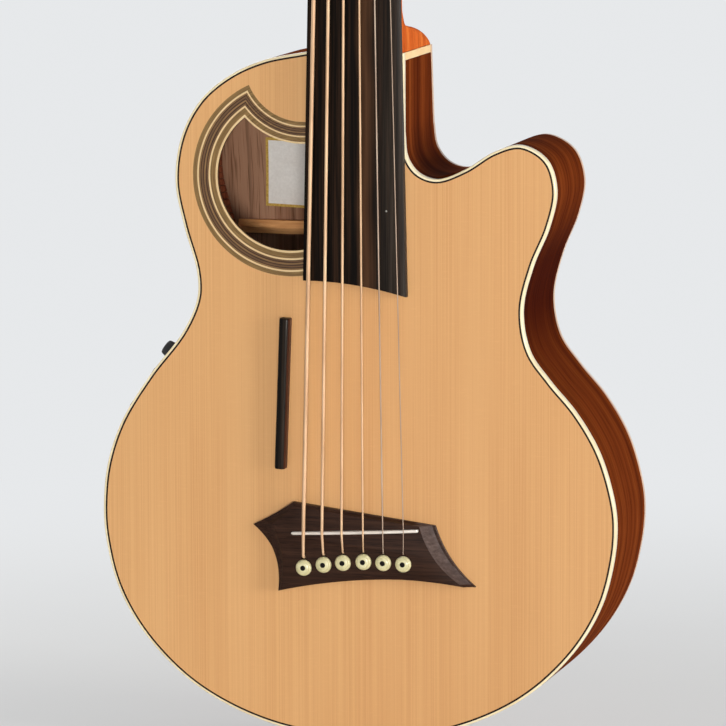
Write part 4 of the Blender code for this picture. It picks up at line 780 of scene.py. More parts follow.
SIDE_TONES = ((84, 31, 7), (112, 48, 15), (136, 64, 23), (158, 84, 34))


def bent(scale, slow=0.55):
    return slow, scale, 1.0


def upright(scale, slow=0.55):
    return scale, 3.0, slow


def bookmatched(tree):
    """Object places mirrored across the seam, as in two leaves of one board."""
    x, y, z = axes(tree)
    return joined(tree, maths(tree, "ABSOLUTE", x), y, z)


side_rosewood = rosewood("side_rosewood", along_edge, bent, SIDE_TONES, painted_waist_shade=1.0)
back_rosewood = rosewood("back_rosewood", bookmatched, upright, SIDE_TONES, 0.3, 0.36, 0.3)
RAW_TONES = ((120, 82, 60), (146, 106, 82), (166, 126, 100), (184, 144, 116))
raw_rosewood = rosewood("raw_rosewood", bookmatched, upright, RAW_TONES, 0.0, 0.7)
print("rosewood for the sides, the back and its raw inside")

# %% [markdown]
# ## Bent sides
# The rim is a strip of rosewood heated and bent to the mould. Its section is rebated at both
# edges for the bindings. The hole for the preamp is sawn through it with a boolean cut.

# %% Preamp frame and box cutters
PREAMP_COSINE, PREAMP_SINE = 0.56324, 0.82629
PREAMP_TURN = Matrix((
    (PREAMP_COSINE, 0.0, -PREAMP_SINE, 0.0), (0.0, 1.0, 0.0, 0.0),
    (PREAMP_SINE, 0.0, PREAMP_COSINE, 0.0), (0.0, 0.0, 0.0, 1.0)))
PREAMP_FRAME = stand_at((-175.334, 45.0, 114.087)) @ PREAMP_TURN


def block(name, low, high, frame_matrix=SADDLE_FRAME):
    """A box between two corners, squared up from a cube."""
    middle = [(a + b) / 2 for a, b in zip(low, high)]
    bpy.ops.mesh.primitive_cube_add(size=1.0, location=middle)
    piece = bpy.context.object
    piece.name = name
    piece.scale = [b - a for a, b in zip(low, high)]
    settle(piece)
    piece.data.transform(frame_matrix)
    return piece


print("preamp frame at", [round(v, 4) for v in PREAMP_FRAME.translation])

# %% Sides
RIM_THICKNESS, BACK_LEDGE = 3.5, 4.1
LEDGE_X, TOP_LEDGE = BINDING_WIDTH + 0.05, SOUNDBOARD_THICKNESS + 0.05
UNDER_TOP_BINDING, UNDER_BACK_BINDING = TOP_BINDING_DEPTH + 0.04, BACK_BINDING_DEPTH + 0.04
SIDE_SECTION = (
    (0.0, "face", UNDER_TOP_BINDING), (0.0, "back", UNDER_BACK_BINDING),
    (LEDGE_X, "back", UNDER_BACK_BINDING), (LEDGE_X, "back", BACK_LEDGE),
    (RIM_THICKNESS, "back", BACK_LEDGE), (RIM_THICKNESS, "face", TOP_LEDGE),
    (LEDGE_X, "face", TOP_LEDGE), (LEDGE_X, "face", UNDER_TOP_BINDING))
sides = bend_round("bent_sides", OUTLINE, SIDE_SECTION)
STRIP_X = TREBLE_CORNER[0] - 1.9
cut(sides, block("preamp_seat", (-44.3, -21.3, -0.3), (44.3, 21.3, 9.0), PREAMP_FRAME),
    block("preamp_hole", (-40.3, -17.3, -12.0), (40.3, 17.3, 3.0), PREAMP_FRAME),
    block("heel_strip_notch", (STRIP_X, 5.5, JOINT_Z - 6.3), (STRIP_X + 8.0, 116.0, JOINT_Z + 1.0)))
dress(shade(sides, 40.0), "guitar", "rosewood", side_rosewood, "rim")

# %% [markdown]
# ## Domed back
# The back is arched a little by its braces, like a very shallow dish. A fine grid is dished
# with the depth function, thickened, and cut to the outline with a cookie cutter.

# %% Back plate
BACK_HALF_WIDTH, BACK_LOW, BACK_LENGTH, BACK_THICKNESS = 222.0, -174.0, 563.0, 3.5
bpy.ops.mesh.primitive_grid_add(x_subdivisions=36, y_subdivisions=90, size=2.0)
back = bpy.context.object
back.name = "back_plate"
for vert in back.data.vertices:
    x, z = vert.co.x * BACK_HALF_WIDTH, BACK_LOW + (vert.co.y + 1.0) / 2 * BACK_LENGTH
    vert.co = spot(x, body_depth(x, z), z)
use_modifier(
    back, "SOLIDIFY", thickness=BACK_THICKNESS * MM,
    offset=1.0 if back.data.polygons[0].normal.y < 0 else -1.0)
face_outwards(back)
cut(back, saw("back_outline", [inside(BINDING_WIDTH + HAIR)], 60.0, 140.0), operation="INTERSECT")
dress(shade(back), "guitar", "rosewood", back_rosewood, "back_panel")
finish_faces(back, raw_rosewood, lambda face: face.normal.y < -0.5)

# %% [markdown]
# ## Rosette
# Bands of veneer follow the hole: olive, cream, a wide one laid up from seven thin strips, cream,
# olive and cream. They could be one texture, but separate strips keep their joints crisp and
# meet in a mitre at the tip, as the real ones do. Their grain runs round the hole.

# %% Rosette bands
ROSETTE_MIDDLE_RADIUS = 0.07


def round_the_hole(tree):
    """Places by distance from the hole's centre and by the way round it, with the join hidden."""
    away = add(tree, "ShaderNodeVectorMath", {0: object_place(tree), 1: HOLE_MIDDLE},
               operation="SUBTRACT").outputs[0]
    x, y, z = axes(tree, away)
    flat = joined(tree, x, 0.0, z)
    distance = add(tree, "ShaderNodeVectorMath", {0: flat}, operation="LENGTH").outputs["Value"]
    turn = maths(tree, "ARCTAN2", z, maths(tree, "MULTIPLY", x, -1.0))
    return joined(tree, distance, y, maths(tree, "MULTIPLY", turn, ROSETTE_MIDDLE_RADIUS))


def plain_wood(
        name, light, dark, scale, roughness=0.35, coat=0.2, strength=0.08, place_of=object_place):
    """A close wood whose grain stands upright, or follows another kind of place."""
    material, tree, shader = new_finish(
        name, roughness, coat=coat, coat_roughness=0.07, specular=0.2)
    grain = noise(tree, scale, 4.0, 0.65, place_of(tree))
    paint(tree, shader, ramp(tree, grain, (0.34, *dark), (0.66, *light)))
    bump(tree, shader, grain, strength, 0.0002)
    return material


def ring_veneer(name, light, dark):
    return plain_wood(name, light, dark, (900.0, 60.0, 40.0), place_of=round_the_hole)


olive_veneer = ring_veneer("olive_veneer", (146, 114, 68), (100, 75, 42))
cream_veneer = ring_veneer("cream_veneer", (236, 208, 160), (214, 182, 132))
brown_veneer = ring_veneer("brown_inlay_veneer", (148, 112, 70), (104, 74, 44))
umber_veneer = ring_veneer("umber_inlay_veneer", (118, 84, 52), (80, 56, 34))
ink_veneer = ring_veneer("ink_inlay_veneer", (72, 47, 29), (40, 26, 17))
dark_veneer = plain_wood("dark_rosewood_veneer", (84, 48, 34), (34, 18, 14), (520.0, 520.0, 30.0))
BANDS = (
    (3.5, olive_veneer), (4.9, cream_veneer), (6.2, brown_veneer), (7.0, ink_veneer),
    (8.4, umber_veneer), (9.2, ink_veneer), (10.6, brown_veneer), (11.5, ink_veneer),
    (13.0, umber_veneer), (14.4, cream_veneer), (18.8, olive_veneer), (ROSETTE_WIDTH, cream_veneer))
start = 0.0
for number, (end, veneer) in enumerate(BANDS, 1):
    outer, inner = crescent(1 - start / ROSETTE_WIDTH), crescent(1 - end / ROSETTE_WIDTH)
    band = saw(f"rosette_band_{number}", [outer + list(reversed(inner))], 0.0, ROSETTE_THICKNESS)
    dress(band, "guitar", "inlay_wood", veneer, *(["rosette"] if number == 1 else []))
    start = end
# The rosette's wall in the hole gets the same painted shade.
finish_faces(band, hole_edge_shade, faces_sideways)

# %% [markdown]
# ## Kerfed linings
# A strip glued inside each edge of the sides gives the plates more wood to hold. It is sawn
# nearly through every six millimetres so that it can bend. The teeth could be an array of
# blocks, but one strip whose section steps in and out is a single closed piece, as it is in wood.

# %% Kerfed linings
KERF_PITCH, KERF = 6.0, 0.9
LINING_WIDTH, LINING_HEIGHT, LINING_LIP = 6.0, 14.0, 5.0


def places_along(loop, distances):
    """Points at given distances round a closed loop."""
    ring = loop + [loop[0]]
    spans = [(b - a).length for a, b in zip(ring, ring[1:])]
    points, travelled, i = [], 0.0, 0
    for distance in distances:
        while i < len(spans) - 1 and travelled + spans[i] < distance:
            travelled += spans[i]
            i += 1
        points.append(ring[i].lerp(ring[i + 1], (distance - travelled) / spans[i]))
    return points


around = sum((b - a).length for a, b in zip(OUTLINE, OUTLINE[1:] + OUTLINE[:1]))
teeth = int(around / KERF_PITCH)
pitch = around / teeth
TOOTH = (0.0, KERF, KERF + 0.04, pitch - 0.04)
tooth_path = places_along(OUTLINE, [i * pitch + shift for i in range(teeth) for shift in TOOTH])


def lining_section(plate, seat):
    near = RIM_THICKNESS + 0.1

    def section(i):
        width = 1.0 if i % 4 < 2 else LINING_WIDTH
        slope = LINING_HEIGHT - (LINING_HEIGHT - LINING_LIP) * width / LINING_WIDTH
        return (
            (near, plate, seat), (near, plate, seat + LINING_HEIGHT),
            (near + width, plate, seat + slope), (near + width, plate, seat))
    return section


BARE = {"roughness": 0.7, "coat": 0.0, "strength": 0.3}
lining_wood = plain_wood(
    "lining_cedar", (176, 100, 66), (126, 62, 40), (500.0, 500.0, 30.0), **BARE)
LINING_SEATS = (("top", "face", SOUNDBOARD_THICKNESS + 0.1), ("back", "back", BACK_LEDGE))
for name, plate, seat in LINING_SEATS:
    lining = bend_round(f"{name}_kerfed_lining", tooth_path, lining_section(plate, seat))
    dress(shade(lining, 25.0), "guitar", "lining_wood", lining_wood, f"{name}_lining")
print(teeth, "teeth in each lining")

# %% [markdown]
# ## Braces and blocks
# Spruce bars stiffen both plates, and mahogany blocks tie the neck and the tail. Their CAD
# solids already have the right shapes, so they only get bare-wood finishes.

# %% Bare wood inside
brace_spruce = plain_wood(
    "brace_spruce", (250, 186, 122), (224, 154, 96), (30.0, 600.0, 600.0), **BARE)
block_mahogany = plain_wood(
    "block_mahogany", (176, 104, 62), (132, 70, 40), (500.0, 500.0, 26.0), **BARE)
heel_cream = mottled(
    "heel_strip_cream", 60.0, (0.3, 250, 206, 140), (0.7, 255, 222, 160), detail=4.0, bumps=0.05,
    bump_scale=900.0, roughness=0.32, coat=0.1, specular=0.1)
finish_nodes(brace_spruce, "x_brace", "back_bracing", "bridge_plate")
finish_nodes(block_mahogany, "neck_block", "tail_block")
finish_nodes(heel_cream, "heel_strip")
print("inside dressed")

# %% [markdown]
# ## A blank label
# Through the hole a paper label shows on the inside of the back. Here it is bare paper with a
# gilt border. The border could be painted with a texture, but an inset face with its own
# material gives a straight clean edge at no cost.

# %% Paper label
paper, tree, shader = new_finish("label_paper", 0.85, specular=0.2)
fibres = noise(tree, 500.0, 4.0)
aged = ramp(tree, noise(tree, 30.0), (0.35, 242, 236, 230), (0.7, 252, 249, 245))
threads = ramp(tree, fibres, (0.3, 180, 170, 154), (0.7, 235, 230, 222))
paint(tree, shader, mix(tree, 0.25, aged, threads, "MULTIPLY"))
bump(tree, shader, fibres, 0.2)
gilt = mottled("gilt_border", 700.0, (0.3, 176, 136, 52), (0.7, 214, 178, 84), metallic=0.3)

LABEL_WIDTH, LABEL_HEIGHT, LABEL_BORDER, LABEL_LEAN = 92.0, 57.0, 2.2, 0.04
bpy.ops.mesh.primitive_grid_add(x_subdivisions=12, y_subdivisions=8, size=1.0)
label = bpy.context.object
label.name = "paper_label"
label.scale = (LABEL_WIDTH, LABEL_HEIGHT, 1.0)
settle(label)
bpy.ops.object.mode_set(mode="EDIT")
bpy.ops.mesh.select_all(action="SELECT")
bpy.ops.mesh.inset(thickness=LABEL_BORDER, use_boundary=True)
bpy.ops.object.mode_set(mode="OBJECT")
LABEL_MIDDLE = (-57.8, 275.5)
for vert in label.data.vertices:
    x = LABEL_MIDDLE[0] + vert.co.x + vert.co.y * LABEL_LEAN
    z = LABEL_MIDDLE[1] + vert.co.y - vert.co.x * LABEL_LEAN
    vert.co = spot(x, body_depth(x, z) - BACK_THICKNESS - 0.35, z)
use_modifier(label, "SOLIDIFY", thickness=0.2 * MM, offset=0.0)
face_outwards(label)
dress(label, "guitar", "cream_plastic", paper)
TO_SADDLE = SADDLE_FRAME.inverted()


def on_border(face):
    """Whether a face of the label is nearer to its edge than the border is wide."""
    middle = TO_SADDLE @ face.center
    x, z = middle.x - LABEL_MIDDLE[0], middle.z - LABEL_MIDDLE[1]
    return (abs(x - z * LABEL_LEAN) > LABEL_WIDTH / 2 - LABEL_BORDER - 0.1
            or abs(z + x * LABEL_LEAN) > LABEL_HEIGHT / 2 - LABEL_BORDER - 0.1)


finish_faces(label, gilt, on_border)

# %% [markdown]
# ## Neck
# Neck, heel and headstock are carved from one mahogany blank. A carver checks the back of a
# neck with templates at stations, and a loft does the same: one closed section per station,
# skinned in order. The section goes from square at the heel to round along the neck.

# %% Loft
def loft(name, rings, frame_matrix=SADDLE_FRAME, ladder=False):
    """Skin a row of rings with the same number of points, and close its ends."""
    bm = bmesh.new()
    rows = [[bm.verts.new(point) for point in ring] for ring in rings]
    count = len(rows[0])
    for first, second in zip(rows, rows[1:]):
        for i in range(count):
            j = (i + 1) % count
            bm.faces.new((first[i], first[j], second[j], second[i]))
    if ladder:
        for row in (rows[0], rows[-1]):
            for i in range(count // 2 - 1):
                bm.faces.new((row[i], row[i + 1], row[count - 2 - i], row[count - 1 - i]))
    else:
        bm.faces.new(rows[0])
        bm.faces.new(rows[-1])
    return from_mesh(name, bm, frame_matrix)


def pillar(name, radius, start, end, frame_matrix=SADDLE_FRAME, sides=48):
    """A round bar between two places, added as a cylinder."""
    start, end = Vector(start), Vector(end)
    turn = (end - start).to_track_quat("Z", "Y").to_euler()
    bpy.ops.mesh.primitive_cylinder_add(
        vertices=sides, radius=radius, depth=(end - start).length, location=(start + end) / 2,
        rotation=turn)
    piece = bpy.context.object
    piece.name = name
    settle(piece)
    piece.data.transform(frame_matrix)
    return piece


print("ready to loft")

# %% Neck blank
SCALE_LENGTH = 864.0
BOARD_END_Z, BOARD_END_HALF_WIDTH, NUT_HALF_WIDTH = 199.8, 42.5, 28.2
HEEL_PROFILE = (
    (0.3, 93.8), (4.0, 91.5), (9.0, 85.0), (13.5, 73.5), (17.0, 57.0), (19.5, 37.5), (22.5, 23.0),
    (34.0, 19.0))
HEADSTOCK_OUTLINE = (
    (0.0, 28.2), (12.0, 29.5), (24.0, 36.5), (36.0, 43.5), (50.0, 46.5), (100.0, 48.0),
    (150.0, 50.5), (176.0, 51.0), (188.0, 47.5), (197.0, 38.0), (203.0, 22.0))
HEADSTOCK_ANGLE, HEADSTOCK_THICKNESS, HEADSTOCK_Z = math.radians(11.0), 15.0, 870.3
HEADSTOCK_FRAME = stand_at((0.0, 0.0, HEADSTOCK_Z), -HEADSTOCK_ANGLE)
TUNER_HOLE_RADIUS = 6.8
POST_PLACES = (
    (-30.0, 52.0), (-31.5, 100.0), (-33.0, 148.0), (33.0, 148.0), (31.5, 100.0), (30.0, 52.0))


def neck_half_width(z):
    share = (z - BOARD_END_Z) / (SCALE_LENGTH - BOARD_END_Z)
    return BOARD_END_HALF_WIDTH + (NUT_HALF_WIDTH - BOARD_END_HALF_WIDTH) * share


def neck_section(z, half_width, front, depth, squareness, steps=28):
    """A flat front, and a back that goes from round, at 1, to square, near 0."""
    ring = []
    for i in range(steps + 1):
        angle = math.pi * i / steps
        across = math.copysign(abs(math.cos(angle)) ** squareness, math.cos(angle))
        ring.append(
            (half_width * across, front + depth * max(math.sin(angle), 0.0) ** squareness, z))
    return ring


stations = []
for along, depth in smooth_curve(HEEL_PROFILE, 6):
    z, squareness = JOINT_Z + along, 0.04 + 0.86 * (along / HEEL_PROFILE[-1][0]) ** 1.4
    stations.append(neck_section(z, neck_half_width(z), 0.0, depth, squareness))
NECK_START, NECK_END = JOINT_Z + HEEL_PROFILE[-1][0], SCALE_LENGTH - 2.0
for step in range(1, 13):
    z = NECK_START + (NECK_END - NECK_START) * step / 12
    depth = HEEL_PROFILE[-1][1] - 5.0 * step / 12
    stations.append(neck_section(z, neck_half_width(z), 0.0, depth, 0.9))
for reach, half_width in smooth_curve(HEADSTOCK_OUTLINE, 6):
    z, front = HEADSTOCK_Z + reach * math.cos(HEADSTOCK_ANGLE), reach * math.sin(HEADSTOCK_ANGLE)
    depth = HEADSTOCK_THICKNESS / math.cos(HEADSTOCK_ANGLE)
    stations.append(neck_section(z, half_width, front, depth, max(0.2, 0.8 - 0.03 * reach)))
neck = loft("neck_blank", stations)
for x, z in POST_PLACES:
    cut(neck, pillar("tuner_hole", TUNER_HOLE_RADIUS, (x, -6.0, z), (x, 21.0, z), HEADSTOCK_FRAME))
STRAP_FRAME = stand_at((1.5 - neck_half_width(JOINT_Z), 40.0, JOINT_Z + 9.0), -math.pi / 2, "Z")
cut(neck, pillar("strap_seat", 7.3, (0.0, 0.3, 0.0), (0.0, -8.0, 0.0), STRAP_FRAME))
shade(neck, 35.0)

# %% Neck finish
mahogany, tree, shader = new_finish(
    "orange_mahogany", 0.36, coat=0.03, coat_roughness=0.06, specular=0.0)
ribbon = noise(tree, (90.0, 90.0, 5.0), 4.0, 0.6, distortion=0.4)
pores = noise(tree, (1200.0, 1200.0, 40.0), 2.0)
tone = ramp(tree, ribbon, (0.3, 190, 80, 28), (0.5, 222, 106, 40), (0.7, 242, 134, 60))
paint(tree, shader, darken(tree, tone, pores, 0.34, 0.44, (150, 110, 90), 0.6))
bump(tree, shader, pores, 0.06, 0.0002)
dress(neck, "guitar", "mahogany", mahogany, "neck")
finish_faces(
    neck, dark_veneer,
    lambda face: face.normal.y < -0.9 and (TO_SADDLE @ face.center).z > HEADSTOCK_Z + 2.0)

# %% [markdown]
# ## Fingerboard
# Ebony, nearly black, with a brown streak that runs up the board and, here, no frets. Its top is
# part of a cylinder and its lower end is cut on a curved slant. Slices across the board, each
# with its crown, are lofted from that end to the nut.

# %% Fingerboard
BOARD_TOP, BOARD_RADIUS = 8.8, 400.0


def crown(x):
    """How far the round top falls away from the middle."""
    return x * x / (2 * BOARD_RADIUS)


def board_slice(half_width, place_of):
    """A closed slice: the flat underside, then the crowned top with eased edges."""
    across = [half_width * (1 - 2 * i / 28) for i in range(29)]
    under = [(x, -0.04, place_of(x)) for x in across]
    eased = {across[0]: 0.5, across[-1]: 0.5}
    return under + [
        (x, -BOARD_TOP + crown(x) + eased.get(x, 0.0), place_of(x)) for x in reversed(across)]


def board_end(x):
    return BOARD_END_Z - 0.132 * x - 0.0019 * x * x


def slice_at(share):
    """The slice at a share of the way from the curved end to the nut."""
    half_width = BOARD_END_HALF_WIDTH + (NUT_HALF_WIDTH - BOARD_END_HALF_WIDTH) * share
    return board_slice(
        half_width, lambda x: board_end(x) * (1 - share) + (SCALE_LENGTH - 0.3) * share)


slices = [slice_at(step / 24) for step in range(25)]
fingerboard = loft("ebony_fingerboard", slices, ladder=True)
shade(fingerboard, 30.0)

STREAK_X, STREAK_HALF_WIDTH, SHEEN_START_X = 0.0165, 0.0085, 0.016
ebony, tree, shader = new_finish("ebony", 0.42, coat=0.01, coat_roughness=0.25, specular=0.05)
x = axes(tree)["X"]
fine = noise(tree, (330.0, 330.0, 5.0), 5.0, 0.7)
tone = ramp(tree, fine, (0.36, 4, 2, 1), (0.5, 15, 9, 5), (0.66, 46, 30, 20))
wander = maths(tree, "MULTIPLY", noise(tree, (3.0, 3.0, 9.0), 2.0), 0.012)
offset = maths(tree, "SUBTRACT", maths(tree, "ADD", x, wander), STREAK_X)
farness = maths(tree, "DIVIDE", maths(tree, "ABSOLUTE", offset), STREAK_HALF_WIDTH)
nearness = maths(tree, "SUBTRACT", 1.0, farness, True)
streak = maths(tree, "MULTIPLY", nearness, noise(tree, (700.0, 700.0, 4.0), 4.0, 0.7), True)
tone = mix(tree, streak, tone, colour(104, 70, 46))
# Painted highlight: a greyer band towards the treble edge stands for the lamps' reflection on the
# crowned top.
pale = maths(tree, "MULTIPLY", rise(tree, x, SHEEN_START_X, 22.0), 0.65)
painted_sheen = ramp(
    tree, noise(tree, (300.0, 300.0, 5.0), 4.0, 0.7), (0.36, 34, 27, 22), (0.5, 68, 57, 48),
    (0.66, 104, 90, 78))
paint(tree, shader, mix(tree, pale, tone, painted_sheen))
bump(tree, shader, fine, 0.1, 0.0002)
vary_roughness(tree, shader, fine, 0.34, 0.48)
dress(fingerboard, "guitar", "ebony", ebony, "fingerboard")

# %% [markdown]
# A single tiny dot of shell near the treble edge marks a note. It could be a white spot in the
# ebony's material, but a turned plug with its own pearly finish is how it is let in.

# %% Marker dot
shell = mottled(
    "shell_dot", 1500.0, (0.3, 140, 136, 128), (0.7, 176, 172, 164), roughness=0.25, coat=0.5)
DOT_RADIUS, DOT_X, DOT_Z = 0.8, 26.8, 259.5
dot_top = -BOARD_TOP + crown(DOT_X)
dot = pillar(
    "marker_dot", DOT_RADIUS, (DOT_X, dot_top + 1.5, DOT_Z), (DOT_X, dot_top - 0.03, DOT_Z),
    sides=24)
dress(shade(dot), "guitar", "bone", shell)

# %% [markdown]
# ## Bone nut and saddle
# Two bars of bone carry the strings. The nut keeps its CAD solid's slots, with its hard edges
# eased. The saddle is lofted along its length so that its ends are round and its top crowned.

# %% Bone
bone = mottled(
    "polished_bone", (60.0, 500.0, 500.0), (0.3, 218, 208, 196), (0.6, 234, 226, 216),
    (0.8, 242, 237, 230), detail=4.0, bumps=0.05, roughness=0.35, coat=0.3)


def fine_copy(node, name, width):
    """A copy of a CAD solid with its faces merged and its hard edges eased."""
    piece = link(nodes[node].copy())
    piece.data = nodes[node].data.copy()
    piece.name = name
    piece.parent = None
    piece.matrix_world = Matrix.Identity(4)
    for key in list(piece.keys()):
        del piece[key]
    face_outwards(piece)
    select(piece)
    bpy.ops.object.mode_set(mode="EDIT")
    bpy.ops.mesh.select_all(action="SELECT")
    bpy.ops.mesh.dissolve_limited(angle_limit=math.radians(1.0))
    bpy.ops.object.mode_set(mode="OBJECT")
    round_edges(piece, width, angle=40.0)
    return shade(piece)


dress(fine_copy("nut", "bone_nut", 0.25), "guitar", "bone", bone, "nut")

SADDLE_ENDS = (Vector((-52.6, -2.6)), Vector((52.9, 3.2)))
SADDLE_THICKNESS, SADDLE_TOP = 2.6, 12.8
saddle_run = SADDLE_ENDS[1] - SADDLE_ENDS[0]
saddle_half = saddle_run.length / 2
saddle_middle = (SADDLE_ENDS[0] + SADDLE_ENDS[1]) / 2
BONE_FRAME = stand_at(
    (saddle_middle.x, 0.0, saddle_middle.y), -math.atan2(saddle_run.y, saddle_run.x), "Y")
rings = []
ease = SADDLE_THICKNESS / 2
for step in range(61):
    x = -saddle_half * math.cos(math.pi * step / 60)
    over = max(abs(x) - (saddle_half - ease), 0.0)
    side = max(math.sqrt(max(ease ** 2 - over ** 2, 0.0)), 0.12)
    top = -SADDLE_TOP + crown(x) + over * 0.4
    rings.append(
        [(x, -4.5, -side), (x, -4.5, side), (x, top + 1.2, side), (x, top + 0.4, side * 0.8),
        (x, top, side * 0.35), (x, top, -side * 0.35), (x, top + 0.4, -side * 0.8),
        (x, top + 1.2, -side)])
saddle = loft("bone_saddle", rings, BONE_FRAME)
dress(shade(saddle, 45.0), "guitar", "bone", bone, "saddle")

# %% [markdown]
# ## Bridge
# The bridge is carved: a flat middle, and two wings that are scooped down to thin points. Both
# the foot and the top are five shallow curves between corners. Between them the side rises
# slowly and then steeply, which is the hollow that a gouge leaves.

# %% Carved bridge
BRIDGE_TOP, BRIDGE_RISE, BRIDGE_EDGE, FULL_SLOPE = 8.6, 8.3, 3.0, 9.0
BRIDGE_CORNERS = ((-85.5, 2.9), (-51.6, 22.4), (65.3, 7.2), (98.5, -41.2), (-63.9, -50.0))
BRIDGE_SAGS = (0.8, 0.0, 4.4, 7.8, 8.0)
TOP_CORNERS = ((-68.1, 5.3), (-50.6, 19.6), (53.5, 6.9), (90.0, -40.8), (-61.7, -48.2))
TOP_SAGS = (0.8, 0.0, 6.0, 7.4, 5.0)


def curved_edges(corners, sags, steps=18):
    """A closed line through corners, each side sagging to its right."""
    line = []
    for i, (corner, sag) in enumerate(zip(corners, sags)):
        a, b = Vector(corner), Vector(corners[(i + 1) % len(corners)])
        right = Vector((b.y - a.y, a.x - b.x)).normalized()
        for step in range(steps):
            share = step / steps
            line.append(a.lerp(b, share) + right * (4 * sag * share * (1 - share)))
    return line


foot, top = curved_edges(BRIDGE_CORNERS, BRIDGE_SAGS), curved_edges(TOP_CORNERS, TOP_SAGS)
rings = [[(p.x, -0.02, p.y) for p in foot]]
for step in range(11):
    share = step / 10
    ring = []
    for p, q in zip(foot, top):
        slope = min((q - p).length / FULL_SLOPE, 1.0)
        shoulder = -0.3 - BRIDGE_RISE + (BRIDGE_RISE - BRIDGE_EDGE) * slope
        way = p.lerp(q, share)
        ring.append((way.x, shoulder + (-BRIDGE_TOP - shoulder) * share ** 2, way.y))
    rings.append(ring)
bridge = loft("carved_bridge", rings)
round_edges(bridge, 0.25, 2, 38.0)
for i in range(6):
    cut(bridge, saw("keyhole", [pin_hole(i)], -BRIDGE_TOP - 2.0, 2.0))
slot_x, slot_z = saddle_half + 0.2, SADDLE_THICKNESS / 2 + 0.15
cut(bridge, block("saddle_slot", (-slot_x, -BRIDGE_TOP - 2.0, -slot_z), (slot_x, -3.1, slot_z),
                  BONE_FRAME))
shade(bridge, 28.0)
bridge_wood, tree, shader = new_finish(
    "bridge_rosewood", 0.42, coat=0.01, coat_roughness=0.2, specular=0.08)
fine = noise(tree, (8.0, 400.0, 420.0), 5.0, 0.65)
pores = noise(tree, (60.0, 1500.0, 1500.0), 2.0)
tone = ramp(tree, fine, (0.3, 38, 22, 15), (0.5, 50, 31, 22), (0.7, 64, 42, 31))
paint(tree, shader, darken(tree, tone, pores, 0.34, 0.44, (110, 96, 90), 0.7))
bump(tree, shader, pores, 0.1, 0.0002)
dress(bridge, "guitar", "dark_rosewood", bridge_wood, "bridge")
# Painted highlight: the treble wing's scoop gets a lighter, greyer wood, as where its slope catches
# the light.
scoop_highlight, tree, shader = new_finish(
    "scoop_painted_highlight", 0.5, coat=0.01, coat_roughness=0.2, specular=0.1)
fine = noise(tree, (120.0, 400.0, 420.0), 5.0, 0.7)
paint(tree, shader, ramp(tree, fine, (0.3, 64, 51, 47), (0.5, 82, 67, 62), (0.7, 102, 86, 80)))
bump(tree, shader, fine, 0.08, 0.0002)


def in_treble_scoop(face):
    middle = TO_SADDLE @ face.center
    return middle.x > 51.0 and middle.z > -38.5 and face.normal.y > -0.985


finish_faces(bridge, scoop_highlight, in_treble_scoop)

# %% [markdown]
# ## Turned pieces
# Pins, posts, knobs and sockets come off a lathe. Half of the profile is drawn as a line of
# points, and a Screw modifier turns it round the axis. Spin in edit mode would do the same, but
# the modifier also welds the seam.

# %% Lathe
BENCH = Matrix.Scale(MM, 4)


def lathe(name, profile, frame_matrix=BENCH, sides=48):
    """Turn a profile of (radius, y) points about the y axis."""
    mesh = bpy.data.meshes.new(name)
    edges = [(i, i + 1) for i in range(len(profile) - 1)]
    mesh.from_pydata([(radius, y, 0.0) for radius, y in profile], edges, [])
    piece = link(bpy.data.objects.new(name, mesh))
    use_modifier(
        piece, "SCREW", axis="Y", steps=sides, render_steps=sides, use_merge_vertices=True,
        merge_threshold=0.0001)
    piece.data.transform(frame_matrix)
    return face_outwards(piece)


def place_copy(master, name, frame_matrix):
    """A copy, with its own mesh, of a piece made on the bench."""
    piece = link(master.copy())
    piece.data = master.data.copy()
    piece.name = name
    piece.data.transform(frame_matrix @ BENCH.inverted())
    return piece


print("lathe ready")

# %% [markdown]
# ## Bridge pins
# Six ivory-coloured pins hold the strings' ball ends. Each has a low domed head with a turned
# groove and a black dot let into its middle, and its shank is fluted where the string passes.

# %% Bridge pins
PIN_FLUTE = 2.3
pin_profile = [
    (0.0, -3.55), (2.9, -3.55), (3.6, -3.45), (4.5, -3.15), (4.7, -2.75), (4.95, -2.75),
    (5.15, -3.0), (5.7, -2.6), (6.25, -1.8), (6.55, -1.0), (6.6, -0.4), (6.45, 0.0), (3.6, 0.0),
    (2.9, 24.0), (2.4, 25.5), (1.4, 26.0), (0.0, 26.0)]
pin = lathe("pin_master", pin_profile)
cut(pin, block("flute", (-8.0, -0.4, PIN_FLUTE), (8.0, 28.0, 9.0), BENCH))
pin_dot = lathe(
    "pin_dot_master", [(0.0, -3.66), (1.8, -3.66), (2.2, -3.52), (2.2, -3.0), (0.0, -3.0)],
    sides=28)
for master in (pin, pin_dot):
    shade(master, 32.0)
ivory = mottled(
    "ivory_pin_plastic", 220.0, (0.3, 202, 194, 146), (0.6, 220, 212, 166), (0.8, 230, 224, 186),
    detail=4.0, bumps=0.05, bump_scale=1600.0, roughness=0.34, coat=0.3, coat_roughness=0.1)
black_dot = mottled("black_pin_dot", 900.0, (0.3, 8, 5, 4), (0.7, 20, 14, 12), specular=0.1)
for i, (x, z) in enumerate(PIN_PLACES, 1):
    seat = stand_at((x, -BRIDGE_TOP - 0.06, z))
    dress(
        place_copy(pin, f"ivory_pin_{i}", seat), "guitar", "pin_plastic", ivory, f"bridge_pin_{i}")
    dress(place_copy(pin_dot, f"pin_dot_{i}", seat), "guitar", "ebony", black_dot)
bpy.data.objects.remove(pin)
bpy.data.objects.remove(pin_dot)

# %% [markdown]
# ## Strings
# Each string runs from its ball, up beside its pin, over saddle and nut, and two turns round
# its post. The path is worked out from the numbers of the pieces that it touches, and a curve
# with a round bevel follows it. All six are wound with bronze wire, the two thinnest finely and
# in a paler bronze. Each is wound thinner from just above the saddle down to its ball.

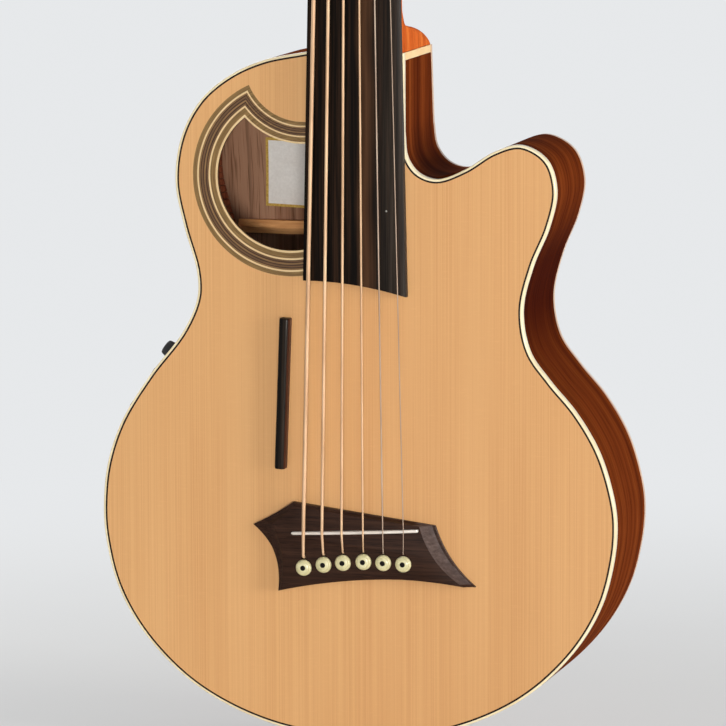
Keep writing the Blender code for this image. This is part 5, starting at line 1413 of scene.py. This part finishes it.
# %% String finishes
def wire(name, tones, pitch, roughness):
    """Bright wire whose winding shows as fine ribs across the string."""
    material, tree, shader = new_finish(name, roughness, metallic=0.4, specular=0.25)
    tarnish = noise(tree, (300.0, 300.0, 20.0), 4.0)
    paint(tree, shader, ramp(tree, tarnish, (0.3, *tones[0]), (0.5, *tones[1]), (0.72, *tones[2])))
    ribs = maths(tree, "SINE", maths(tree, "MULTIPLY", axes(tree)["Z"], 2 * math.pi / (pitch * MM)))
    bump(tree, shader, ribs, 0.35)
    vary_roughness(tree, shader, tarnish, roughness - 0.05, roughness + 0.12)
    return material


bronze = wire("bronze_winding", ((188, 150, 114), (212, 174, 138), (230, 196, 158)), 0.7, 0.46)
fine_bronze = wire(
    "fine_bronze_winding", ((162, 138, 120), (184, 160, 140), (202, 182, 162)), 0.4, 0.44)
print(bronze.name, "and", fine_bronze.name)

# %% Strings
STRING_SADDLE_X = (-41.3, -25.6, -9.2, 8.4, 24.6, 41.2)
STRING_NUT_PITCH, STRING_TURNS, TURN_POINTS, TURN_GAP = 8.4, 2.25, 36, 0.55
BALL_RADIUS, POST_WAIST_RADIUS, STRING_GAP = 2.6, 4.2, 0.3
THINNED, FULL_ABOVE_SADDLE = 0.72, 34.0
BALL_SEAT_Y = SOUNDBOARD_THICKNESS + 2.5 + 0.6
TO_HEADSTOCK = HEADSTOCK_FRAME.inverted() @ SADDLE_FRAME


def string_height(x, i, top):
    """Depth of a string's middle where it clears a crowned top by a hair."""
    return -(top + STRING_GAP + STRING_DIAMETERS[i] / 2) + crown(x)


def turns_round_post(i, towards):
    """The string's turns round its post, in the headstock's frame."""
    x, z = POST_PLACES[i]
    radius = POST_WAIST_RADIUS + STRING_GAP + STRING_DIAMETERS[i] / 2
    side = 1.0 if x < 0.0 else -1.0
    touch = Vector((x + side * radius, z))
    for _ in range(4):
        run = (touch - towards).normalized()
        touch = Vector((x, z)) + Vector((run.y, -run.x)) * side * radius
    start = math.atan2(touch.y - z, touch.x - x)
    points = []
    for step in range(int(STRING_TURNS * TURN_POINTS) + 1):
        angle = start + side * 2 * math.pi * step / TURN_POINTS
        y = -13.5 - STRING_DIAMETERS[i] / 2 + (STRING_DIAMETERS[i] + TURN_GAP) * step / TURN_POINTS
        points.append(Vector((x + radius * math.cos(angle), y, z + radius * math.sin(angle))))
    return points


def string_path(i):
    """Places along one string, each with the string's radius there."""
    radius = STRING_DIAMETERS[i] / 2
    thin = radius * THINNED
    pin_x, pin_z = PIN_PLACES[i]
    ball_y, ball_z = BALL_SEAT_Y + BALL_RADIUS + 0.7, pin_z + PIN_FLUTE + STRING_GAP + BALL_RADIUS
    path = []

    def pass_by(x, y, z, thickness):
        path.append((Vector((x, y, z)), thickness))

    for step in range(9):
        turn = math.pi * step / 8
        pass_by(pin_x, ball_y + math.cos(turn) * BALL_RADIUS, ball_z,
                max(BALL_RADIUS * math.sin(turn), thin if step else 0.3))
    pass_by(pin_x, ball_y - BALL_RADIUS - 0.4, ball_z, thin)
    corner_y, corner_z = -BRIDGE_TOP, keyhole_end(i)
    bend = radius + SLOT_GAP
    pass_by(pin_x, corner_y + 1.5, corner_z - bend, thin)
    saddle_x = STRING_SADDLE_X[i]
    a, b = SADDLE_ENDS
    saddle_z = a.y + (b.y - a.y) * (saddle_x - a.x) / (b.x - a.x)
    saddle_y = string_height(saddle_x, i, SADDLE_TOP)
    climb = math.atan2(corner_y - bend - saddle_y, saddle_z - corner_z)
    for step in range(9):
        turn = (math.pi / 2 - climb) * step / 8
        pass_by(pin_x, corner_y - bend * math.sin(turn), corner_z - bend * math.cos(turn), thin)
    pass_by(saddle_x, saddle_y, saddle_z, (thin + radius) / 2)
    nut_x = (i - 2.5) * STRING_NUT_PITCH
    nut_y = string_height(nut_x, i, BOARD_TOP + 0.5)
    above = FULL_ABOVE_SADDLE / (SCALE_LENGTH - saddle_z)
    pass_by(saddle_x + (nut_x - saddle_x) * above, saddle_y + (nut_y - saddle_y) * above,
            saddle_z + FULL_ABOVE_SADDLE, radius)
    for beyond in (0.5, 5.0):
        pass_by(nut_x, nut_y, SCALE_LENGTH + beyond, radius)
    leave = TO_HEADSTOCK @ path[-1][0]
    for point in turns_round_post(i, Vector((leave.x, leave.z))):
        path.append((TO_HEADSTOCK.inverted() @ point, radius))
    return path


for i in range(6):
    string = draw(
        f"wire_{i + 1}", [string_path(i)], False, dimensions="3D", bevel_depth=1.0,
        bevel_resolution=4, use_fill_caps=True)
    string.data.transform(SADDLE_FRAME)
    shade(face_outwards(string), 50.0)
    dress(string, "guitar", "string_bronze", bronze if i < 4 else fine_bronze, f"string_{i + 1}")

# %% [markdown]
# ## Thumb rest
# A narrow bar of dark wood beside the strings lets the thumb rest while the fingers play. Its
# top is rounded over and its ends are eased, so it is lofted from short slices. Its colour
# across is painted light: a shaded black flank and a red-brown reflection on the right side.

# %% Thumb rest
REST_ENDS = (Vector((-57.7, 171.2)), Vector((-62.2, 49.2)))
REST_WIDTH, REST_HEIGHT = 8.6, 9.0
rest_run = REST_ENDS[0] - REST_ENDS[1]
rest_middle = (REST_ENDS[0] + REST_ENDS[1]) / 2
REST_FRAME = stand_at(
    (rest_middle.x, -0.02, rest_middle.y), math.atan2(rest_run.x, rest_run.y), "Y")
rings = []
EASED_ENDS = ((1.0, 0.86), (0.997, 0.93), (0.99, 0.98), (0.975, 1.0), (0.5, 1.0))
lower_end = [(-along, size) for along, size in EASED_ENDS]
for along, size in (*lower_end, (0.0, 1.0), *reversed(EASED_ENDS)):
    half, z = REST_WIDTH / 2 * size, along * rest_run.length / 2
    ring = [(-half, 0.0, z), (half, 0.0, z)]
    for step in range(17):
        angle = math.pi * step / 16
        across = math.copysign(abs(math.cos(angle)) ** 0.55, math.cos(angle))
        height = 0.62 + 0.38 * math.sin(angle) ** 0.8
        ring.append((half * across, -REST_HEIGHT * height * (0.5 + size / 2), z))
    rings.append(ring)
rest = shade(loft("thumb_rest_bar", rings, REST_FRAME), 40.0)
rest_wood, tree, shader = new_finish(
    "thumb_rest_wood", 0.34, coat=0.03, coat_roughness=0.12, specular=0.06)
fine = noise(tree, (500.0, 500.0, 10.0), 4.0, 0.6)
x, y, z = axes(tree)
above = maths(tree, "SUBTRACT", z, SADDLE.z + rest_middle.y * MM)
line_x = maths(
    tree, "ADD", maths(tree, "MULTIPLY", above, rest_run.x / rest_run.y), rest_middle.x * MM)
across = maths(tree, "DIVIDE", maths(tree, "SUBTRACT", x, line_x), REST_WIDTH * MM)
# Painted light: painted shade on the left flank, and a painted red-brown reflection of the top on
# the right side.
tone = ramp(tree, fine, (0.3, 22, 17, 13), (0.7, 52, 42, 33))
reflected_top = ramp(tree, fine, (0.3, 52, 26, 18), (0.7, 96, 54, 38))
shaded_flank = ramp(tree, fine, (0.3, 8, 6, 5), (0.7, 24, 19, 15))
tone = mix(tree, rise(tree, across, -0.12, 8.0), shaded_flank, tone)
paint(tree, shader, mix(tree, rise(tree, across, 0.38, 14.0), tone, reflected_top))
bump(tree, shader, fine, 0.08, 0.0002)
dress(rest, "guitar", "ebony", rest_wood, "thumb_rest")

# %% [markdown]
# ## Tuning machines
# On the back of the headstock each string has a closed gear housing. A button turns a worm,
# which turns the post twenty times more slowly. Housing, post and button are three pieces
# because each moves by itself. One set is made on the bench for each side and copied.

# %% Chrome
chrome, tree, shader = new_finish("polished_chrome", 0.14, metallic=1.0)
haze = noise(tree, 120.0, 4.0)
paint(tree, shader, ramp(tree, haze, (0.3, 196, 198, 202), (0.7, 216, 218, 220)))
vary_roughness(tree, shader, haze, 0.09, 0.22)
bump(tree, shader, noise(tree, 2500.0), 0.02)


def screw_head(name, radius):
    """A domed screw head with a cross slot, facing back, on the bench."""
    dome = [(0.0, 1.1), (radius * 0.55, 0.95), (radius * 0.85, 0.6), (radius, 0.1)]
    head = lathe(name, dome + [(radius, -0.4), (0.0, -0.4)], sides=32)
    reach, half = radius * 0.55, radius * 0.11
    for x, z in ((reach, half), (half, reach)):
        cut(head, block("slot", (-x, 0.35, -z), (x, 2.0, z), BENCH))
    return shade(head)


print("chrome and screws")

# %% Gear housings
HOUSING, HOUSING_Y, HOUSING_Z = (22.0, 14.0, 27.0), 15.3, -3.25
WORM_DROP, WORM_DEPTH = 8.5, 22.3


def gear_housing(side):
    """Casing, round gear cover, sleeve and ferrule, with bores for the post and the worm."""
    half_x, half_z = HOUSING[0] / 2, HOUSING[2] / 2
    casing = block(
        "casing", (-half_x, HOUSING_Y, HOUSING_Z - half_z),
        (half_x, HOUSING_Y + HOUSING[1], HOUSING_Z + half_z), BENCH)
    round_edges(casing, 3.4, 5)
    cover = lathe("cover", [(0.0, 27.0), (8.4, 27.0), (8.4, 29.6), (7.7, 30.2), (0.0, 30.2)])
    sleeve = lathe(
        "sleeve", [(0.0, -2.7), (7.4, -2.7), (8.4, -2.35), (9.0, -1.5), (9.0, -0.3), (6.5, -0.3),
        (6.5, 17.3), (0.0, 17.3)])
    cut(casing, cover, sleeve, operation="UNION")
    cut(casing, pillar("post_bore", 5.3, (0.0, -8.0, 0.0), (0.0, 25.3, 0.0), BENCH),
        pillar("worm_bore", 2.8, (side * (half_x - 5.0), WORM_DEPTH, -WORM_DROP),
               (side * (half_x + 3.0), WORM_DEPTH, -WORM_DROP), BENCH))
    return shade(casing)


def stands():
    """For each tuner its number, its side of the headstock and the place of its post."""
    for i, (x, z) in enumerate(POST_PLACES, 1):
        yield i, -1 if x < 0 else 1, HEADSTOCK_FRAME @ Matrix.Translation((x, 0.0, z))


gear_screw = screw_head("gear_screw_master", 3.2)
fixing_screw = screw_head("fixing_screw_master", 2.0)
housings = {side: gear_housing(side) for side in (-1, 1)}
for i, side, stand in stands():
    dress(
        place_copy(housings[side], f"gear_housing_{i}", stand), "guitar", "chrome", chrome,
        f"tuner_housing_{i}")
    for screw, name, place in (
            (gear_screw, "gear_screw", (0.0, 30.5, 0.0)),
            (fixing_screw, "fixing_screw", (-side * 6.5, 29.4, -12.0))):
        dress(
            place_copy(screw, f"{name}_{i}", stand @ Matrix.Translation(place)), "guitar", "chrome",
            chrome)
for master in (gear_screw, fixing_screw, *housings.values()):
    bpy.data.objects.remove(master)

# %% Posts
post_profile = [
    (0.0, -20.5), (4.2, -20.5), (4.9, -20.2), (5.45, -19.5), (5.6, -18.9), (5.6, -18.0),
    (5.4, -17.5), (4.8, -16.9), (4.35, -16.3), (4.2, -15.4), (4.2, -5.6), (4.3, -5.1), (4.7, -4.5),
    (5.0, -4.0), (5.0, 24.8), (0.0, 24.8)]
post = lathe("post_master", post_profile)
cut(post, block("string_slot", (-1.3, -22.5, -9.0), (1.3, -17.5, 9.0), BENCH))
shade(post, 32.0)
for i, side, stand in stands():
    dress(
        place_copy(post, f"string_post_turned_{i}", stand), f"post_{i}", "chrome", chrome,
        f"string_post_{i}")
bpy.data.objects.remove(post)

# %% Buttons
BUTTON_REACH, BUTTON_SIZE, BUTTON_SQUARENESS = 24.0, (23.0, 9.5, 25.0), 0.72
SHAFT_PROFILE = (
    (0.0, 6.5), (2.5, 6.5), (2.5, 11.3), (4.0, 11.3), (4.0, 13.0), (3.3, 14.0), (3.3, 21.0),
    (4.2, 22.5), (4.2, 24.5), (0.0, 24.5))


def outwards(side):
    """The quarter turn that lays a turned piece along the button's shaft."""
    return Matrix.Rotation(-math.pi / 2 * side, 4, "Z")


def tuner_button(side):
    """An oval button on its collared worm shaft, with a screw in its end."""
    bpy.ops.mesh.primitive_uv_sphere_add(segments=48, ring_count=24, radius=1.0)
    button = bpy.context.object
    half = [size / 2 for size in BUTTON_SIZE]
    for vert in button.data.vertices:
        vert.co = [math.copysign(abs(value) ** BUTTON_SQUARENESS, value) * reach
                   for value, reach in zip(vert.co, half)]
        vert.co.x += side * (BUTTON_REACH + half[0] - 4.0)
    button.data.transform(BENCH)
    cut(button, lathe("shaft", SHAFT_PROFILE, BENCH @ outwards(side), 40), operation="UNION")
    return shade(button, 32.0)


buttons = {side: tuner_button(side) for side in (-1, 1)}
end_screw = screw_head("end_screw_master", 2.4)
for i, side, stand in stands():
    stand = stand @ Matrix.Translation((0.0, WORM_DEPTH, -WORM_DROP))
    dress(
        place_copy(buttons[side], f"oval_button_{i}", stand), f"button_{i}", "chrome", chrome,
        f"tuner_button_{i}")
    tip = stand @ Matrix.Translation((side * (BUTTON_REACH + 18.9), 0.0, 0.0)) @ outwards(side)
    dress(place_copy(end_screw, f"button_screw_{i}", tip), f"button_{i}", "chrome", chrome)
for master in (end_screw, *buttons.values()):
    bpy.data.objects.remove(master)

# %% [markdown]
# ## Preamp on the bass side
# A moulded black plate is let into the side with four tone sliders and a volume knob. The
# moulding and the caps keep their CAD shapes with eased edges. Short raised ticks beside the
# slots give the thumb something to count.

# %% Black plastic
moulded, tree, shader = new_finish("moulded_black_plastic", 0.45)
pebble = noise(tree, 2600.0, 2.0)
paint(tree, shader, ramp(tree, noise(tree, 90.0, 4.0), (0.3, 22, 22, 23), (0.7, 34, 34, 35)))
bump(tree, shader, pebble, 0.15)
vary_roughness(tree, shader, pebble, 0.4, 0.55)
mark_paint = mottled("pale_mark_paint", 900.0, (0.3, 196, 194, 188), (0.7, 222, 220, 214))

dress(
    fine_copy("preamp_panel", "preamp_moulding", 0.4), "guitar", "black_plastic", moulded,
    "preamp_panel")
SLIDER_PLACES, PLATE, TICK_X = (-33.0, -22.0, -11.0, 0.0), 2.4, 4.0
ticks = []
for x in SLIDER_PLACES:
    for y in (-8.5, -4.25, 0.0, 4.25, 8.5):
        end = x + TICK_X + (1.6 if y else 2.4)
        low, high = (x + TICK_X, y - 0.2, PLATE - 0.1), (end, y + 0.2, PLATE + 0.12)
        ticks.append(block("tick", low, high, PREAMP_FRAME))
select(*ticks)
bpy.ops.object.join()
ticks = bpy.context.object
ticks.name = "slider_ticks"
dress(ticks, "guitar", "black_plastic", mark_paint)
for i, x in enumerate(SLIDER_PLACES, 1):
    cap = fine_copy(f"slider_cap_{i}", f"slider_cap_moulding_{i}", 0.45)
    dress(cap, f"slider_{i}", "black_plastic", moulded, f"slider_cap_{i}")
    stripe = block(
        f"slider_stripe_{i}", (x - 2.6, -0.35, PLATE + 5.9), (x + 2.6, 0.35, PLATE + 6.42),
        PREAMP_FRAME)
    dress(stripe, f"slider_{i}", "black_plastic", mark_paint)

# %% Knurled knob
KNOB_PLACE = 22.0
KNOB_FRAME = stand_at((KNOB_PLACE, 0.0, 0.0), -math.pi / 2, "X", PREAMP_FRAME)
base, tip = PLATE + 0.3, PLATE + 9.3
knob_profile = [
    (0.0, -tip + 0.25), (4.2, -tip + 0.1), (4.9, -tip), (5.7, -tip + 0.35), (6.2, -tip + 1.1),
    (6.75, -base - 5.0), (6.9, -base - 2.9), (7.0, -base - 2.0), (7.0, -base - 0.3), (6.8, -base),
    (3.0, -base), (3.0, 3.0), (0.0, 3.0)]
KNURLS, KNURL_DEPTH = 36, 0.955
knob = lathe("knurled_knob", knob_profile, BENCH, 2 * KNURLS)
for vert in knob.data.vertices:
    facet = round(math.atan2(vert.co.z, vert.co.x) / (math.pi / KNURLS))
    if -tip + 0.9 < vert.co.y / MM < -base - 2.6 and facet % 2:
        vert.co.x *= KNURL_DEPTH
        vert.co.z *= KNURL_DEPTH
knob.data.transform(KNOB_FRAME @ BENCH.inverted())
dress(shade(knob, 20.0), "knob", "black_plastic", moulded, "volume_knob")
pointer = block(
    "knob_pointer", (KNOB_PLACE - 0.4, 1.2, tip - 0.4), (KNOB_PLACE + 0.4, 4.9, tip + 0.12),
    PREAMP_FRAME)
dress(pointer, "knob", "black_plastic", mark_paint)

# %% [markdown]
# ## Jack and strap button
# The tail's strap button is also the cable socket, and a second button sits on the side of the
# heel. Both are turned.

# %% Jack socket
JACK_DEPTH = 56.0
JACK_FRAME = stand_at((0.0, JACK_DEPTH, TAIL_END[1]), math.pi / 2)
jack_profile = [
    (3.3, -10.6), (3.6, -11.0), (8.0, -11.0), (8.9, -10.6), (9.5, -9.9), (9.5, -8.9), (8.9, -8.3),
    (7.2, -7.5), (6.5, -6.6), (6.5, -3.9), (7.0, -3.1), (9.6, -2.3), (10.3, -1.8), (10.5, -1.2),
    (10.5, -0.3), (6.0, -0.3), (6.0, 34.0), (0.0, 34.0), (0.0, 28.0), (3.3, 28.0), (3.3, -10.6)]
jack = lathe("jack_socket_turned", jack_profile, JACK_FRAME, 56)
dress(shade(jack, 28.0), "guitar", "chrome", chrome, "end_pin_jack")

# %% Strap button
strap_profile = [
    (0.0, -11.4), (2.6, -11.4), (3.0, -12.0), (5.4, -12.0), (6.4, -11.6), (7.0, -10.8), (7.0, -9.9),
    (6.2, -9.2), (4.4, -8.2), (3.5, -7.0), (3.4, -5.6), (3.4, -3.8), (4.0, -2.6), (5.6, -1.7),
    (6.5, -1.1), (6.5, -0.1), (0.0, -0.1)]
strap = lathe("strap_button_turned", strap_profile, STRAP_FRAME)
dress(shade(strap, 28.0), "guitar", "chrome", chrome, "strap_button")
strap_screw = screw_head("strap_screw_bench", 2.5)
turned_out = stand_at((0.0, -11.3, 0.0), math.pi, "X", STRAP_FRAME)
dress(place_copy(strap_screw, "strap_screw", turned_out), "guitar", "chrome", chrome)
bpy.data.objects.remove(strap_screw)

# %% [markdown]
# ## Steel inside
# The truss rod lies in the neck and the pickup lies under the saddle. Neither shows, but each
# keeps its solid with a plain steel finish.

# %% Hidden steel
dull_steel = mottled(
    "dull_steel", (300.0, 300.0, 20.0), (0.3, 120, 120, 122), (0.7, 158, 158, 160), detail=4.0,
    roughness=0.4, metallic=1.0)
finish_nodes(dull_steel, "truss_rod", "undersaddle_pickup")

# %% [markdown]
# ## Finish
# The view layer is brought up to date at the end.

# %% Finish
bpy.context.view_layer.update()
